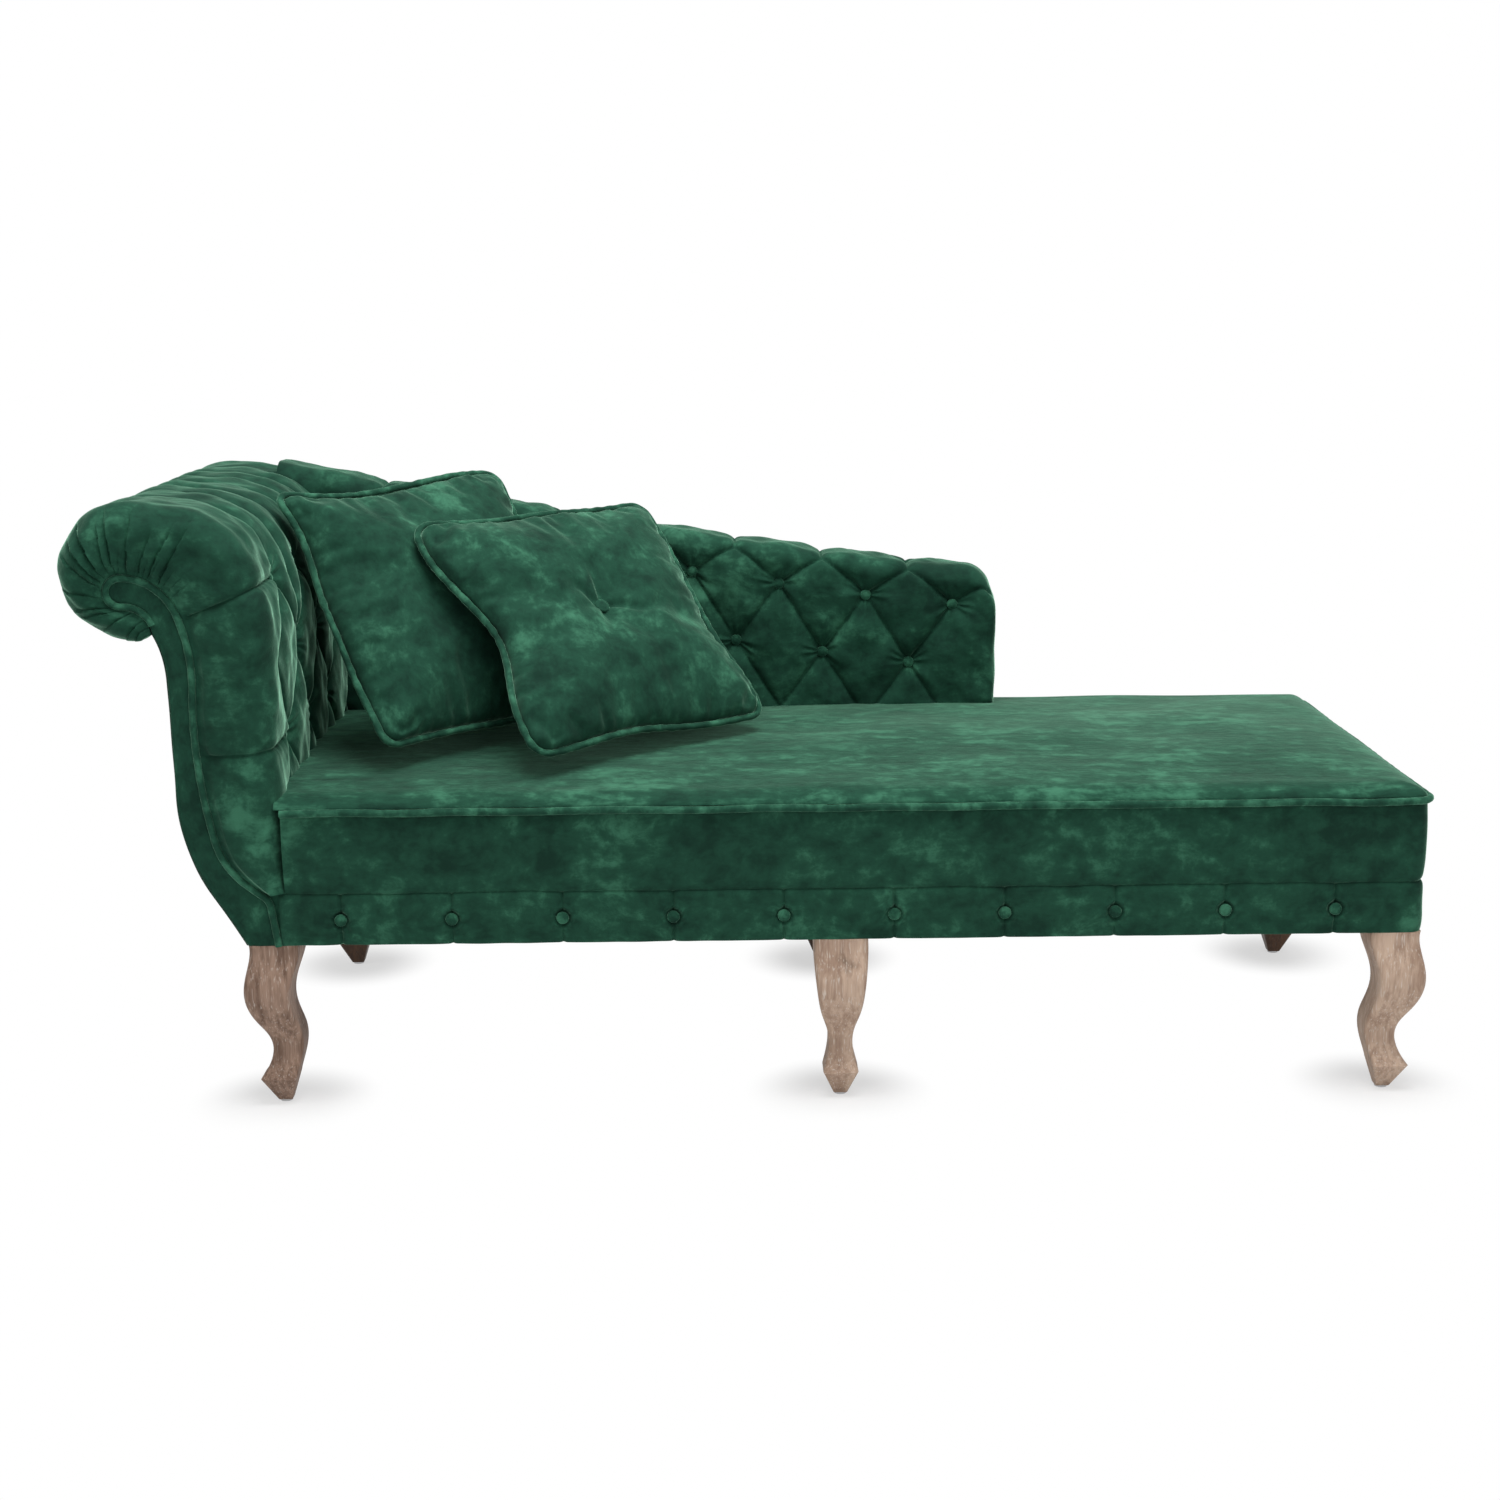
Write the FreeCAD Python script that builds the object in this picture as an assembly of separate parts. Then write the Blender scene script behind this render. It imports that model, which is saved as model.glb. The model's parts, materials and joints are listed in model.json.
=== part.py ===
import FreeCAD, Part
import math
import os

from FreeCAD import Matrix, Placement, Vector

os.makedirs("parts", exist_ok=True)

# Chaise longue in crushed velvet: one scrolled arm at the head end, a buttoned back that falls
# towards the foot end, a tight sprung seat on six cabriole legs, and two loose cushions.
# +X runs to the foot end, -Y is the front, +Z is up. The origin is the middle of the floor print.

# Overall sizes
HALF_LENGTH = 850.0
HALF_DEPTH = 306.5
LEG_HEIGHT = 219.0
RAIL_TOP = 285.0
SEAM_HEIGHT = 392.0
SEAT_SHOULDER = 411.0
SEAT_CROWN = 421.0
ARM_HEIGHT = 775.0
BACK_PEAK = 777.0
BACK_END_HEIGHT = 612.0

# Cloth, wadding and the small gaps between layers
CLOTH = 2.0
GAP = 0.3
WADDING = 9.7
PIPING_RADIUS = 5.0
PIPING_PROUD = 3.0

# Scrolled arm
ROLL_RADIUS = 81.0
ROLL_OVERHANG = 201.0
EYE_RADIUS = 22.5
EYE_OFFSET_X = 6.0
EYE_DROP = 23.0
WAIST_OUT = 77.0
FACING_WIDTH = 38.0
FACING_FOOT = 45.0
ARM_PAD = 90.0
RIM_RADIUS = 22.0
FACING_THICK = 4.0
BOARD_THICK = 18.0
ARM_PANEL = 4.0
ROLL_SLAT = 26.0
WAIST_SLAT_WIDE = 24.0
WAIST_SLAT_TALL = 60.0
ARM_ROWS = 3

# Outline of the scroll boards: directions in degrees from +X towards +Z, and places as a distance
# from the waist, the foot or the band, with a share of the rise from the rail to the roll
FOOT_HEADING = 120.0
CURL_HEADING = 92.6
JOINT_OUT = 28.0
FLARE = (0.52, 0.141)
WAIST_LOW = 0.423
WAIST_HIGH = 0.718
FACING_NECK = (21.0, 0.897)
FACING_THROAT = (-3.0, 0.697)
FACING_FLANK = 0.444
FACING_SPLAY = (12.0, 0.293)
FACING_HEEL = (3.0, 0.185)
FACING_INSTEP = (18.0, 0.145)
FACING_TOE = (7.0, 0.107)

# Outline of the padding over the roll: shares of the roll's radius above its middle
PAD_LAP = 4.0
PAD_SHOULDER = (2.0, 0.88)
PAD_BREAST = (27.0, 0.26)
PAD_CHEEK = (2.0, -0.67)
PAD_FLANK = -1.16
PAD_ROOT = 6.0
PAD_BACKING = 7.0
BOARD_OVERLAP = 0.8

# Back
BACK_THICK = 94.5
BACK_END_X = 361.0
BACK_CURVE = 1.22
BACK_TOP_PAD = 28.0
BACK_PAD = 44.0
BACK_PANEL = 3.0
BACK_ROLL_RADIUS = 26.0
BACK_CORNER = 46.0
BACK_TOP_RAIL_TALL = 40.0
POST_WIDE = 30.0
BACK_STATIONS = 9
BACK_CORNER_STEPS = 4
BACK_END_PAD = 14.0
BACK_POST_GAPS = (1, 3)
BACK_ROWS = 3

# Seat
SHOULDER_WIDE = 42.0
SEAT_END_ROUND = 44.0
SEAT_CORNER = 18.0
SEAT_END_STEPS = 4
SHOULDER_FULL = 0.3
SHOULDER_SHIFT = 4.0
SEAT_END_LIFT = 0.05
HESSIAN = 0.8
HESSIAN_LIFT = 8.3
DUST_CLOTH = 0.8

# Timber seat frame
RAIL_THICK = 28.0
RAIL_LIFT = 2.5
HEAD_RAIL_BEHIND = 7.2
CROSS_RAIL_TALL = 45.0
CROSS_RAIL_WIDE = 30.0
BLOCK_LONG = 50.0
BLOCK_DEEP = 40.0
BLOCK_TALL = 40.0

# Sinuous springs and their clips
SPRING_COUNT = 8
SPRING_WIRE = 1.9
SPRING_WIDE = 50.0
SPRING_PITCH = 22.0
SPRING_LIFT = 4.5
CLIP_LONG = 12.0
CLIP_DEEP = 10.0
CLIP_TALL = 8.0
CLIP_INSET = 8.0

# Legs and their fixings
LEG_BLOCK = 63.0
LEG_EASE = 0.28
LEG_KNEE = 10.0
LEG_ANKLE = 8.0
LEG_TOE = 4.0
LEG_PAD = 9.0
MIDDLE_LEG_X = 103.0
MIDDLE_LEG_WIDE = 70.0
MIDDLE_LEG_SLIM = 0.3
MIDDLE_LEG_WAIST = 0.36
GLIDE_RADIUS = 8.0
GLIDE_THICK = 3.0
GLIDE_PIN_RADIUS = 1.5
GLIDE_PIN_LONG = 14.0
BOLT_RADIUS = 4.0
BOLT_IN_LEG = 45.0
BOLT_IN_RAIL = 24.0
PLATE_SIDE = 48.0
SCREW_SPREAD = 15.0
SCREW_RADIUS = 2.0
SCREW_HEAD_RADIUS = 3.8
SCREW_HEAD_TALL = 2.2
SCREW_LONG = 18.0
BORE_CLEARANCE = 0.1
ROOM = 0.5

# Levels of a leg: share of its height, share of its block's width
LEG_NECK = (0.90, 0.99)
LEG_KNEE_LEVEL = (0.73, 0.93)
LEG_CALF = (0.51, 0.80)
LEG_ANKLE_LEVEL = (0.36, 0.64)
LEG_HEEL = (0.24, 0.63)
LEG_RIDGE = (0.165, 0.73)

# Buttons, tufts and pleats
BUTTON_RADIUS = 8.0
BUTTON_THICK = 5.0
TUFT_RADIUS = 24.0
TUFT_DEPTH = 15.0
TUFT_FLOOR = 3.0
PLEAT_DEPTH = 6.0
PLEAT_HALF_WIDE = 9.0
BACK_TUFT_PITCH = 128.0
BACK_TUFT_FIRST = 66.0
BACK_TUFT_DROP = 55.0
BACK_ROW_STEP = 93.0
ARM_TUFT_PITCH = 140.0
ARM_TUFT_FIRST = 116.0
ARM_ROW_LOW = 463.0
ARM_ROW_STEP = 106.0
BAND_BUTTON_COUNT = 10
BAND_BUTTON_PITCH = 139.7
BAND_BUTTON_FIRST = 75.0
END_BUTTON_COUNT = 4
BAND_TUFT_RADIUS = 12.0
BAND_DIMPLE = 3.4
BAND_BULGE = 2.5

# Loose cushions
CUSHION_HALF = 200.0
CUSHION_THICK = 110.0
CUSHION_DRAW = 12.0
CUSHION_CORNER = 9.0
CUSHION_STEPS = 5
CUSHION_TOP = 0.985
CUSHION_LEAST_DRAW = 0.2
CUSHION_ROUNDEST = 0.96
CUSHION_PIPING = 5.0
CUSHION_TUFT = 34.0
CUSHION_TUFT_DEPTH = 30.0
CUSHION_BUTTON = 11.0
CUSHION_CLEARANCE = 0.4
CUSHION_CLOTH = 1.5
REAR_CUSHION_FROM_ARM = 167.0
REAR_CUSHION_FROM_BACK = 191.0
REAR_CUSHION_RISE = 190.0
REAR_CUSHION_TURN = 46.0
REAR_CUSHION_LEAN = 34.6
FRONT_CUSHION_FROM_ARM = 381.0
FRONT_CUSHION_FROM_BACK = 225.0
FRONT_CUSHION_RISE = 178.0
FRONT_CUSHION_TURN = 40.2
FRONT_CUSHION_LEAN = 45.1
SETTLE_REACH = 60.0
SETTLE_WITHIN = 0.3

# Places that follow from the sizes above
PLEAT_STEEPNESS = math.sqrt(1.0 + (PLEAT_DEPTH / PLEAT_HALF_WIDE) ** 2)
FOOT_X = HALF_LENGTH - PIPING_PROUD - PIPING_RADIUS
ARM_BASE_X = ROLL_OVERHANG - HALF_LENGTH
WAIST_X = ARM_BASE_X - WAIST_OUT
BAND_START_X = ARM_BASE_X + FACING_FOOT
ARM_INNER_X = WAIST_X + FACING_WIDTH + ARM_PAD
ROLL_X = ROLL_RADIUS - HALF_LENGTH
ROLL_Z = ARM_HEIGHT - ROLL_RADIUS
EYE_X = ROLL_X - EYE_OFFSET_X
EYE_Z = ROLL_Z - EYE_DROP
RAIL_BOTTOM = LEG_HEIGHT + RAIL_LIFT
RAIL_OUT_Y = HALF_DEPTH - CLOTH - WADDING - GAP
RAIL_IN_Y = RAIL_OUT_Y - RAIL_THICK
RAIL_OUT_X = FOOT_X - CLOTH - WADDING - GAP
RAIL_IN_X = RAIL_OUT_X - RAIL_THICK
HEAD_RAIL_X = ARM_BASE_X + CLOTH + GAP + HEAD_RAIL_BEHIND
BACK_FRONT_Y = HALF_DEPTH - BACK_THICK
BOARD_OUT_Y = HALF_DEPTH - FACING_THICK - CLOTH + ROOM
BOARD_IN_Y = BOARD_OUT_Y - BOARD_THICK
SEAT_BASE = RAIL_TOP + HESSIAN_LIFT + HESSIAN + GAP
SPRING_Z = RAIL_TOP + SPRING_LIFT
SPRING_END_Y = RAIL_IN_Y + CLIP_INSET
JOINT_X = ROLL_X + JOINT_OUT
JOINT_Z = ROLL_Z - math.sqrt(ROLL_RADIUS ** 2 - JOINT_OUT ** 2)
FACING_PIPING = PIPING_RADIUS - ROOM
CUSHION_INSIDE = CUSHION_HALF - 2.0 * CUSHION_PIPING - GAP - ROOM
TOUCHING = 0.01


# Helpers

def save(name, shape):
    shape.exportStep("parts/" + name + ".step")
    box = shape.BoundBox
    print("%-26s solids %3d  x %.1f..%.1f  y %.1f..%.1f  z %.1f..%.1f  valid %s" % (
        name, len(shape.Solids), box.XMin, box.XMax, box.YMin, box.YMax, box.ZMin, box.ZMax,
        shape.isValid()))


def block(x0, x1, y0, y1, z0, z1):
    return Part.makeBox(x1 - x0, y1 - y0, z1 - z0, Vector(x0, y0, z0))


def together(shapes):
    return Part.Compound(list(shapes))


def tidy(shape):
    """The solids of a result, without leftovers of a cut."""
    solids = [solid for solid in shape.Solids if solid.Volume > 1.0]
    if len(solids) == 1:
        return solids[0]
    return Part.Compound(solids)


def mirrored_y(shape):
    return shape.mirror(Vector(0, 0, 0), Vector(0, 1, 0))


def upright(x, z):
    return Vector(x, 0, z)


def arc_chain(points, heading):
    """Arcs through points of the XZ plane, each tangent to the one before.

    The heading is the first direction, in degrees from +X towards +Z."""
    edges = []
    way = upright(math.cos(math.radians(heading)), math.sin(math.radians(heading)))
    for start, end in zip(points, points[1:]):
        start = upright(*start)
        end = upright(*end)
        chord = end - start
        along = chord * (1.0 / chord.Length)
        side = way - along * way.dot(along)
        if side.Length < 0.001:
            edges.append(Part.makeLine(start, end))
        else:
            turn = math.acos(max(-1.0, min(1.0, way.dot(along))))
            rise = chord.Length / 2.0 * math.tan(turn / 2.0)
            middle = (start + end) * 0.5 + side * (rise / side.Length)
            edges.append(Part.Arc(start, middle, end).toShape())
        way = along * (2.0 * way.dot(along)) - way
    return edges


def prism(wire, y0, y1):
    """A slab with an XZ outline, from y0 to y1."""
    face = Part.Face(wire)
    face.translate(Vector(0, y0, 0))
    return face.extrude(Vector(0, y1 - y0, 0))


def thick_path(edges, half):
    """A strip with round ends that follows a path of the XZ plane."""
    wire = Part.Wire(edges)
    return wire.makeOffset2D(half, 0, False, False)


def tube(edges, radius):
    """A round cord along a smooth path."""
    path = Part.Wire(edges)
    first = path.OrderedEdges[0]
    start = first.valueAt(first.FirstParameter)
    way = first.tangentAt(first.FirstParameter)
    if path.OrderedEdges[0].Orientation == "Reversed":
        start = first.valueAt(first.LastParameter)
        way = way * -1.0
    circle = Part.Wire([Part.makeCircle(radius, start, way)])
    shell = Part.BRepOffsetAPI.MakePipeShell(path)
    shell.add(circle)
    shell.build()
    shell.makeSolid()
    return shell.shape()


def tuft(at, outward, radius, depth, extra):
    """The cone that a button draws into the padding. Extra moves its wall inwards."""
    way = Vector(outward).normalize()
    slope = depth / radius
    reach = depth + extra * math.sqrt(1.0 + slope * slope)
    wide = TUFT_FLOOR + (reach + ROOM) / slope
    return Part.makeCone(TUFT_FLOOR, wide, reach + ROOM, at - way * reach, way)


def button(at, outward, radius, tuft_radius, depth):
    """A covered button that rests on the wall of its tuft: a domed cap with a flat back."""
    way = Vector(outward).normalize()
    slope = depth / tuft_radius
    seat = at - way * (depth - (radius + GAP - TUFT_FLOOR) * slope)
    dome_radius = (radius ** 2 + BUTTON_THICK ** 2) / (2.0 * BUTTON_THICK)
    rim = math.degrees(math.asin((dome_radius - BUTTON_THICK) / dome_radius))
    return Part.makeSphere(dome_radius, seat + way * (BUTTON_THICK - dome_radius), way,
                           rim, 90.0, 360.0)


def groove(start, end, outward, extra):
    """A V channel in the padding from one point of its surface to another."""
    run = end - start
    out = Vector(outward).normalize()
    side = run.cross(out).normalize()
    reach = PLEAT_DEPTH + extra * PLEAT_STEEPNESS
    half = PLEAT_HALF_WIDE * (reach + ROOM) / PLEAT_DEPTH
    low = start - out * reach
    left = start + out * ROOM + side * half
    right = start + out * ROOM - side * half
    return Part.Face(Part.makePolygon([low, left, right, low])).extrude(run)


# The sweep of the top of the back

def back_top(x):
    """Height of the back over its length: it falls in one curve towards the foot end."""
    share = (BACK_END_X - x) / (BACK_END_X - ROLL_X - ROLL_RADIUS)
    share = max(share, 0.0)
    return BACK_END_HEIGHT + (BACK_PEAK - BACK_END_HEIGHT) * share ** BACK_CURVE


# Outlines of the scrolled arm in the XZ plane

def arm_z(share):
    """Height on the arm, as a share of the rise from the rail to the middle of the roll."""
    return LEG_HEIGHT + share * (ROLL_Z - LEG_HEIGHT)


def outer_edges():
    """The outside of the arm, from the foot of the board to the underside of the roll."""
    points = [
        (ARM_BASE_X, LEG_HEIGHT),
        (ARM_BASE_X - FLARE[0] * WAIST_OUT, arm_z(FLARE[1])),
        (WAIST_X, arm_z(WAIST_LOW)),
        (WAIST_X, arm_z(WAIST_HIGH)),
        (JOINT_X, JOINT_Z),
    ]
    return arc_chain(points, FOOT_HEADING)


def eye_edges():
    """The round end of the facing, inside the roll."""
    under = arc_chain([(JOINT_X, JOINT_Z), (EYE_X, EYE_Z - EYE_RADIUS)], CURL_HEADING)
    points = [
        (EYE_X, EYE_Z - EYE_RADIUS),
        (EYE_X - EYE_RADIUS, EYE_Z),
        (EYE_X, EYE_Z + EYE_RADIUS),
    ]
    return under + arc_chain(points, 180.0)


def inner_edges():
    """The inside of the facing, from the eye down to the seat rail."""
    flank_x = WAIST_X + FACING_WIDTH
    points = [
        (EYE_X, EYE_Z + EYE_RADIUS),
        (WAIST_X + FACING_NECK[0], arm_z(FACING_NECK[1])),
        (flank_x + FACING_THROAT[0], arm_z(FACING_THROAT[1])),
        (flank_x, arm_z(FACING_FLANK)),
        (flank_x + FACING_SPLAY[0], arm_z(FACING_SPLAY[1])),
        (ARM_BASE_X + FACING_HEEL[0], arm_z(FACING_HEEL[1])),
        (BAND_START_X - FACING_INSTEP[0], arm_z(FACING_INSTEP[1])),
        (BAND_START_X - FACING_TOE[0], arm_z(FACING_TOE[1])),
        (BAND_START_X, LEG_HEIGHT),
    ]
    return arc_chain(points, 0.0)


def scroll_wire():
    """The whole facing: the shape of the scroll boards."""
    foot = Part.makeLine(upright(BAND_START_X, LEG_HEIGHT), upright(ARM_BASE_X, LEG_HEIGHT))
    return Part.Wire(outer_edges() + eye_edges() + inner_edges() + [foot])


def roll_edges():
    """The padded surface of the arm: round the roll, over its top and down to the seat."""
    lap = JOINT_OUT - PAD_LAP
    points = [
        (ROLL_X + lap, ROLL_Z - math.sqrt(ROLL_RADIUS ** 2 - lap ** 2)),
        (ROLL_X - ROLL_RADIUS, ROLL_Z),
        (ROLL_X, ROLL_Z + ROLL_RADIUS),
        (ROLL_X + ROLL_RADIUS - PAD_SHOULDER[0], ROLL_Z + PAD_SHOULDER[1] * ROLL_RADIUS),
        (ARM_INNER_X - PAD_BREAST[0], ROLL_Z + PAD_BREAST[1] * ROLL_RADIUS),
        (ARM_INNER_X - PAD_CHEEK[0], ROLL_Z + PAD_CHEEK[1] * ROLL_RADIUS),
        (ARM_INNER_X, ROLL_Z + PAD_FLANK * ROLL_RADIUS),
    ]
    start = math.degrees(math.asin(lap / ROLL_RADIUS))
    return arc_chain(points, 180.0 + start)


def soft_wire():
    """The padded outline, closed through the inside of the boards."""
    edges = roll_edges()
    first = edges[0].Vertexes[0].Point
    last = edges[-1].Vertexes[-1].Point
    inside = FACING_WIDTH / 2.0
    corners = [
        last,
        upright(ARM_INNER_X, RAIL_TOP + GAP),
        upright(ARM_BASE_X - PAD_ROOT, RAIL_TOP + GAP),
        upright(WAIST_X + inside + PAD_BACKING, arm_z(FACING_SPLAY[1])),
        upright(WAIST_X + inside, arm_z(FACING_FLANK)),
        upright(WAIST_X + inside, arm_z(BOARD_OVERLAP)),
        upright(EYE_X + EYE_RADIUS, EYE_Z),
        first,
    ]
    for start, end in zip(corners, corners[1:]):
        edges.append(Part.makeLine(start, end))
    return Part.Wire(edges)


# Scrolled arm

def seat_side_line():
    """The straight part of the padded surface, from the roll's shoulder down to the seat rail."""
    top = roll_edges()[-1].Vertexes[-1].Point
    return Part.makeLine(top, upright(ARM_INNER_X, RAIL_TOP + GAP))


def inner_x_at(z):
    """A point of the padded surface on the seat side, and its outward direction."""
    best = None
    level = Part.makeLine(upright(ROLL_X, z), upright(FOOT_X, z))
    for edge in roll_edges() + [seat_side_line()]:
        meeting = edge.distToShape(level)
        if meeting[0] < TOUCHING:
            point = meeting[1][0][0]
            if best is None or point.x > best[0].x:
                way = edge.tangentAt(edge.Curve.parameter(point))
                out = Vector(-way.z, 0, way.x)
                if out.x < 0:
                    out = out * -1.0
                best = (point, out)
    return best


def arm_tufts():
    """Surface points and directions of the buttons: three staggered rows."""
    places = []
    for row in range(ARM_ROWS):
        z = ARM_ROW_LOW + row * ARM_ROW_STEP
        point, out = inner_x_at(z)
        shift = ARM_TUFT_PITCH / 2.0 if row == 1 else 0.0
        y = ARM_TUFT_FIRST + shift - HALF_DEPTH
        while y < BACK_FRONT_Y - TUFT_RADIUS * 2.0:
            places.append((Vector(point.x, y, point.z), out))
            y += ARM_TUFT_PITCH
    return places


def roll_pleats(extra):
    """V channels over the roll, from the joint behind it to the top row of buttons."""
    path_edges = roll_edges()[:-1]
    reach = PLEAT_DEPTH + extra * PLEAT_STEEPNESS
    half = PLEAT_HALF_WIDE * (reach + ROOM) / PLEAT_DEPTH
    cutters = []
    y = ARM_TUFT_FIRST - HALF_DEPTH
    while y < BACK_FRONT_Y + PLEAT_HALF_WIDE:
        path = Part.Wire(path_edges)
        start = path_edges[0].valueAt(path_edges[0].FirstParameter)
        out = (start - upright(ROLL_X, ROLL_Z)).normalize()
        apex = start - out * reach
        left = start + out * ROOM + Vector(0, -half, 0)
        right = start + out * ROOM + Vector(0, half, 0)
        profile = Part.makePolygon([apex, left, right, apex])
        shell = Part.BRepOffsetAPI.MakePipeShell(path)
        shell.add(profile)
        shell.build()
        shell.makeSolid()
        cutter = shell.shape()
        cutter.translate(Vector(0, y, 0))
        cutters.append(cutter)
        y += ARM_TUFT_PITCH / 2.0
    return cutters


def arm_soft(inset):
    """The padded arm, its front and rear rims rounded, with tufts and pleats drawn in."""
    wire = soft_wire()
    if inset > 0:
        wire = wire.makeOffset2D(-inset)
    half = HALF_DEPTH - inset
    body = prism(wire, -half, half)
    shown = Part.Wire(roll_edges() + [seat_side_line()])
    rims = []
    for edge in body.Edges:
        middle = edge.valueAt((edge.FirstParameter + edge.LastParameter) / 2.0)
        away = shown.distToShape(Part.Vertex(middle.x, 0, middle.z))[0]
        if abs(abs(middle.y) - half) < TOUCHING and abs(away - inset) < 5.0 * TOUCHING:
            rims.append(edge)
    body = body.makeFillet(RIM_RADIUS - inset, rims)
    cutters = roll_pleats(inset)
    for at, out in arm_tufts():
        cutters.append(tuft(at, out, TUFT_RADIUS, TUFT_DEPTH, inset))
    return body.cut(cutters)


def arm_slats(room):
    """Two slats that tie the scroll boards together, let through both of them."""
    reach = BOARD_OUT_Y + room
    eye = block(EYE_X - ROLL_SLAT / 2.0 - room, EYE_X + ROLL_SLAT / 2.0 + room, -reach, reach,
                EYE_Z - ROLL_SLAT / 2.0 - room, EYE_Z + ROLL_SLAT / 2.0 + room)
    middle_x = WAIST_X + FACING_WIDTH / 2.0
    middle_z = (arm_z(WAIST_LOW) + arm_z(WAIST_HIGH)) / 2.0
    waist = block(middle_x - WAIST_SLAT_WIDE / 2.0 - room, middle_x + WAIST_SLAT_WIDE / 2.0 + room,
                  -reach, reach, middle_z - WAIST_SLAT_TALL / 2.0 - room,
                  middle_z + WAIST_SLAT_TALL / 2.0 + room)
    return [eye, waist]


def arm_parts():
    scroll = scroll_wire()
    room = prism(scroll.makeOffset2D(GAP), -HALF_LENGTH, HALF_LENGTH)
    outer = arm_soft(0.0)
    lining = arm_soft(CLOTH)
    stuffing = arm_soft(CLOTH + GAP)
    save("arm_inner_cover", tidy(outer.cut([lining, room])))
    save("arm_pad", tidy(stuffing.cut(room)))

    board_wire = scroll.makeOffset2D(-CLOTH - GAP)
    board = prism(board_wire, -BOARD_OUT_Y, -BOARD_IN_Y)
    under = block(-HALF_LENGTH, 0, -HALF_DEPTH, HALF_DEPTH, 0, RAIL_BOTTOM)
    board = board.cut(fixing_cutters() + arm_slats(GAP / 2.0) + [under])
    save("arm_scroll_board_front", board)
    save("arm_scroll_board_rear", mirrored_y(board))
    save("arm_slats", together(arm_slats(0.0)))

    panel_zone = prism(thick_path(inner_edges(), ARM_PANEL), -BOARD_IN_Y + GAP, BOARD_IN_Y - GAP)
    panel = panel_zone.common(prism(scroll, -HALF_DEPTH, HALF_DEPTH))
    level = block(-HALF_LENGTH, FOOT_X, -HALF_DEPTH, HALF_DEPTH, RAIL_TOP + GAP, EYE_Z - EYE_RADIUS)
    save("arm_inner_panel", tidy(panel.common(level).cut(arm_slats(GAP / 2.0))))

    skin_zone = prism(thick_path(outer_edges(), CLOTH), -BOARD_OUT_Y, BOARD_OUT_Y)
    skin = skin_zone.common(prism(scroll, -HALF_DEPTH, HALF_DEPTH))
    save("arm_outer_cover", tidy(skin))

    inner_wire = Part.Wire(inner_edges())
    facing_front = -BOARD_OUT_Y - GAP - FACING_THICK
    facing = prism(scroll, facing_front, -BOARD_OUT_Y - GAP)
    channel = prism(thick_path(inner_edges(), 2.0 * FACING_PIPING + GAP), -HALF_LENGTH, 0)
    facing = tidy(facing.cut(channel))
    save("arm_facing_front", facing)
    save("arm_facing_rear", mirrored_y(facing))
    cord_path = inner_wire.makeOffset2D(-FACING_PIPING - GAP, 0, False, True)
    cord = tube(cord_path.OrderedEdges, FACING_PIPING)
    cord.translate(Vector(0, -BOARD_OUT_Y - GAP - FACING_PIPING, 0))
    cord = cord.cut(block(-HALF_LENGTH, 0, -HALF_LENGTH, 0, 0, LEG_HEIGHT))
    save("arm_facing_piping_front", cord)
    save("arm_facing_piping_rear", mirrored_y(cord))

    knobs = [button(at, out, BUTTON_RADIUS, TUFT_RADIUS, TUFT_DEPTH) for at, out in arm_tufts()]
    save("arm_buttons", together(knobs))
    return outer


# Where the legs stand: the middle of each block and the way its toe points

def leg_places():
    corner = LEG_BLOCK / 2.0
    front = HALF_DEPTH - corner
    return [
        ("leg_front_left", ARM_BASE_X + corner, -front, -1.0, -1.0),
        ("leg_front_middle", MIDDLE_LEG_X, -front, 0.0, -1.0),
        ("leg_front_right", FOOT_X - corner, -front, 1.0, -1.0),
        ("leg_rear_left", ARM_BASE_X + corner, front, -1.0, 1.0),
        ("leg_rear_middle", MIDDLE_LEG_X, front, 0.0, 1.0),
        ("leg_rear_right", FOOT_X - corner, front, 1.0, 1.0),
    ]


def screw_places(x, y):
    places = []
    for side_x in (-SCREW_SPREAD, SCREW_SPREAD):
        for side_y in (-SCREW_SPREAD, SCREW_SPREAD):
            places.append((x + side_x, y + side_y))
    return places


def screw(x, y, room):
    """A countersunk wood screw, driven up through the plate from Z = leg height."""
    at = Vector(x, y, LEG_HEIGHT)
    head = Part.makeCone(SCREW_HEAD_RADIUS + room, SCREW_RADIUS + room, SCREW_HEAD_TALL, at)
    shank = Part.makeCylinder(SCREW_RADIUS + room, SCREW_LONG + room, at)
    return head.fuse(shank)


def hanger_bolt(x, y, room):
    """A threaded rod: its lower end in the leg, its upper end in the frame."""
    low = LEG_HEIGHT - BOLT_IN_LEG - room
    return Part.makeCylinder(BOLT_RADIUS + room, BOLT_IN_LEG + BOLT_IN_RAIL + 2.0 * room,
                             Vector(x, y, low))


def glide(x, y, room):
    """A nail-on glide: a round steel foot with its pin."""
    foot = Part.makeCylinder(GLIDE_RADIUS, GLIDE_THICK, Vector(x, y, 0))
    pin = Part.makeCylinder(GLIDE_PIN_RADIUS + room, GLIDE_THICK + GLIDE_PIN_LONG + room,
                            Vector(x, y, 0))
    return foot.fuse(pin)


def fixing_cutters():
    """Everything that is screwed or bolted up into the frame, with its clearance."""
    cutters = []
    for place in leg_places():
        x, y = place[1:3]
        cutters.append(hanger_bolt(x, y, BORE_CLEARANCE))
        for at_x, at_y in screw_places(x, y):
            cutters.append(screw(at_x, at_y, BORE_CLEARANCE))
    return cutters


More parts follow.
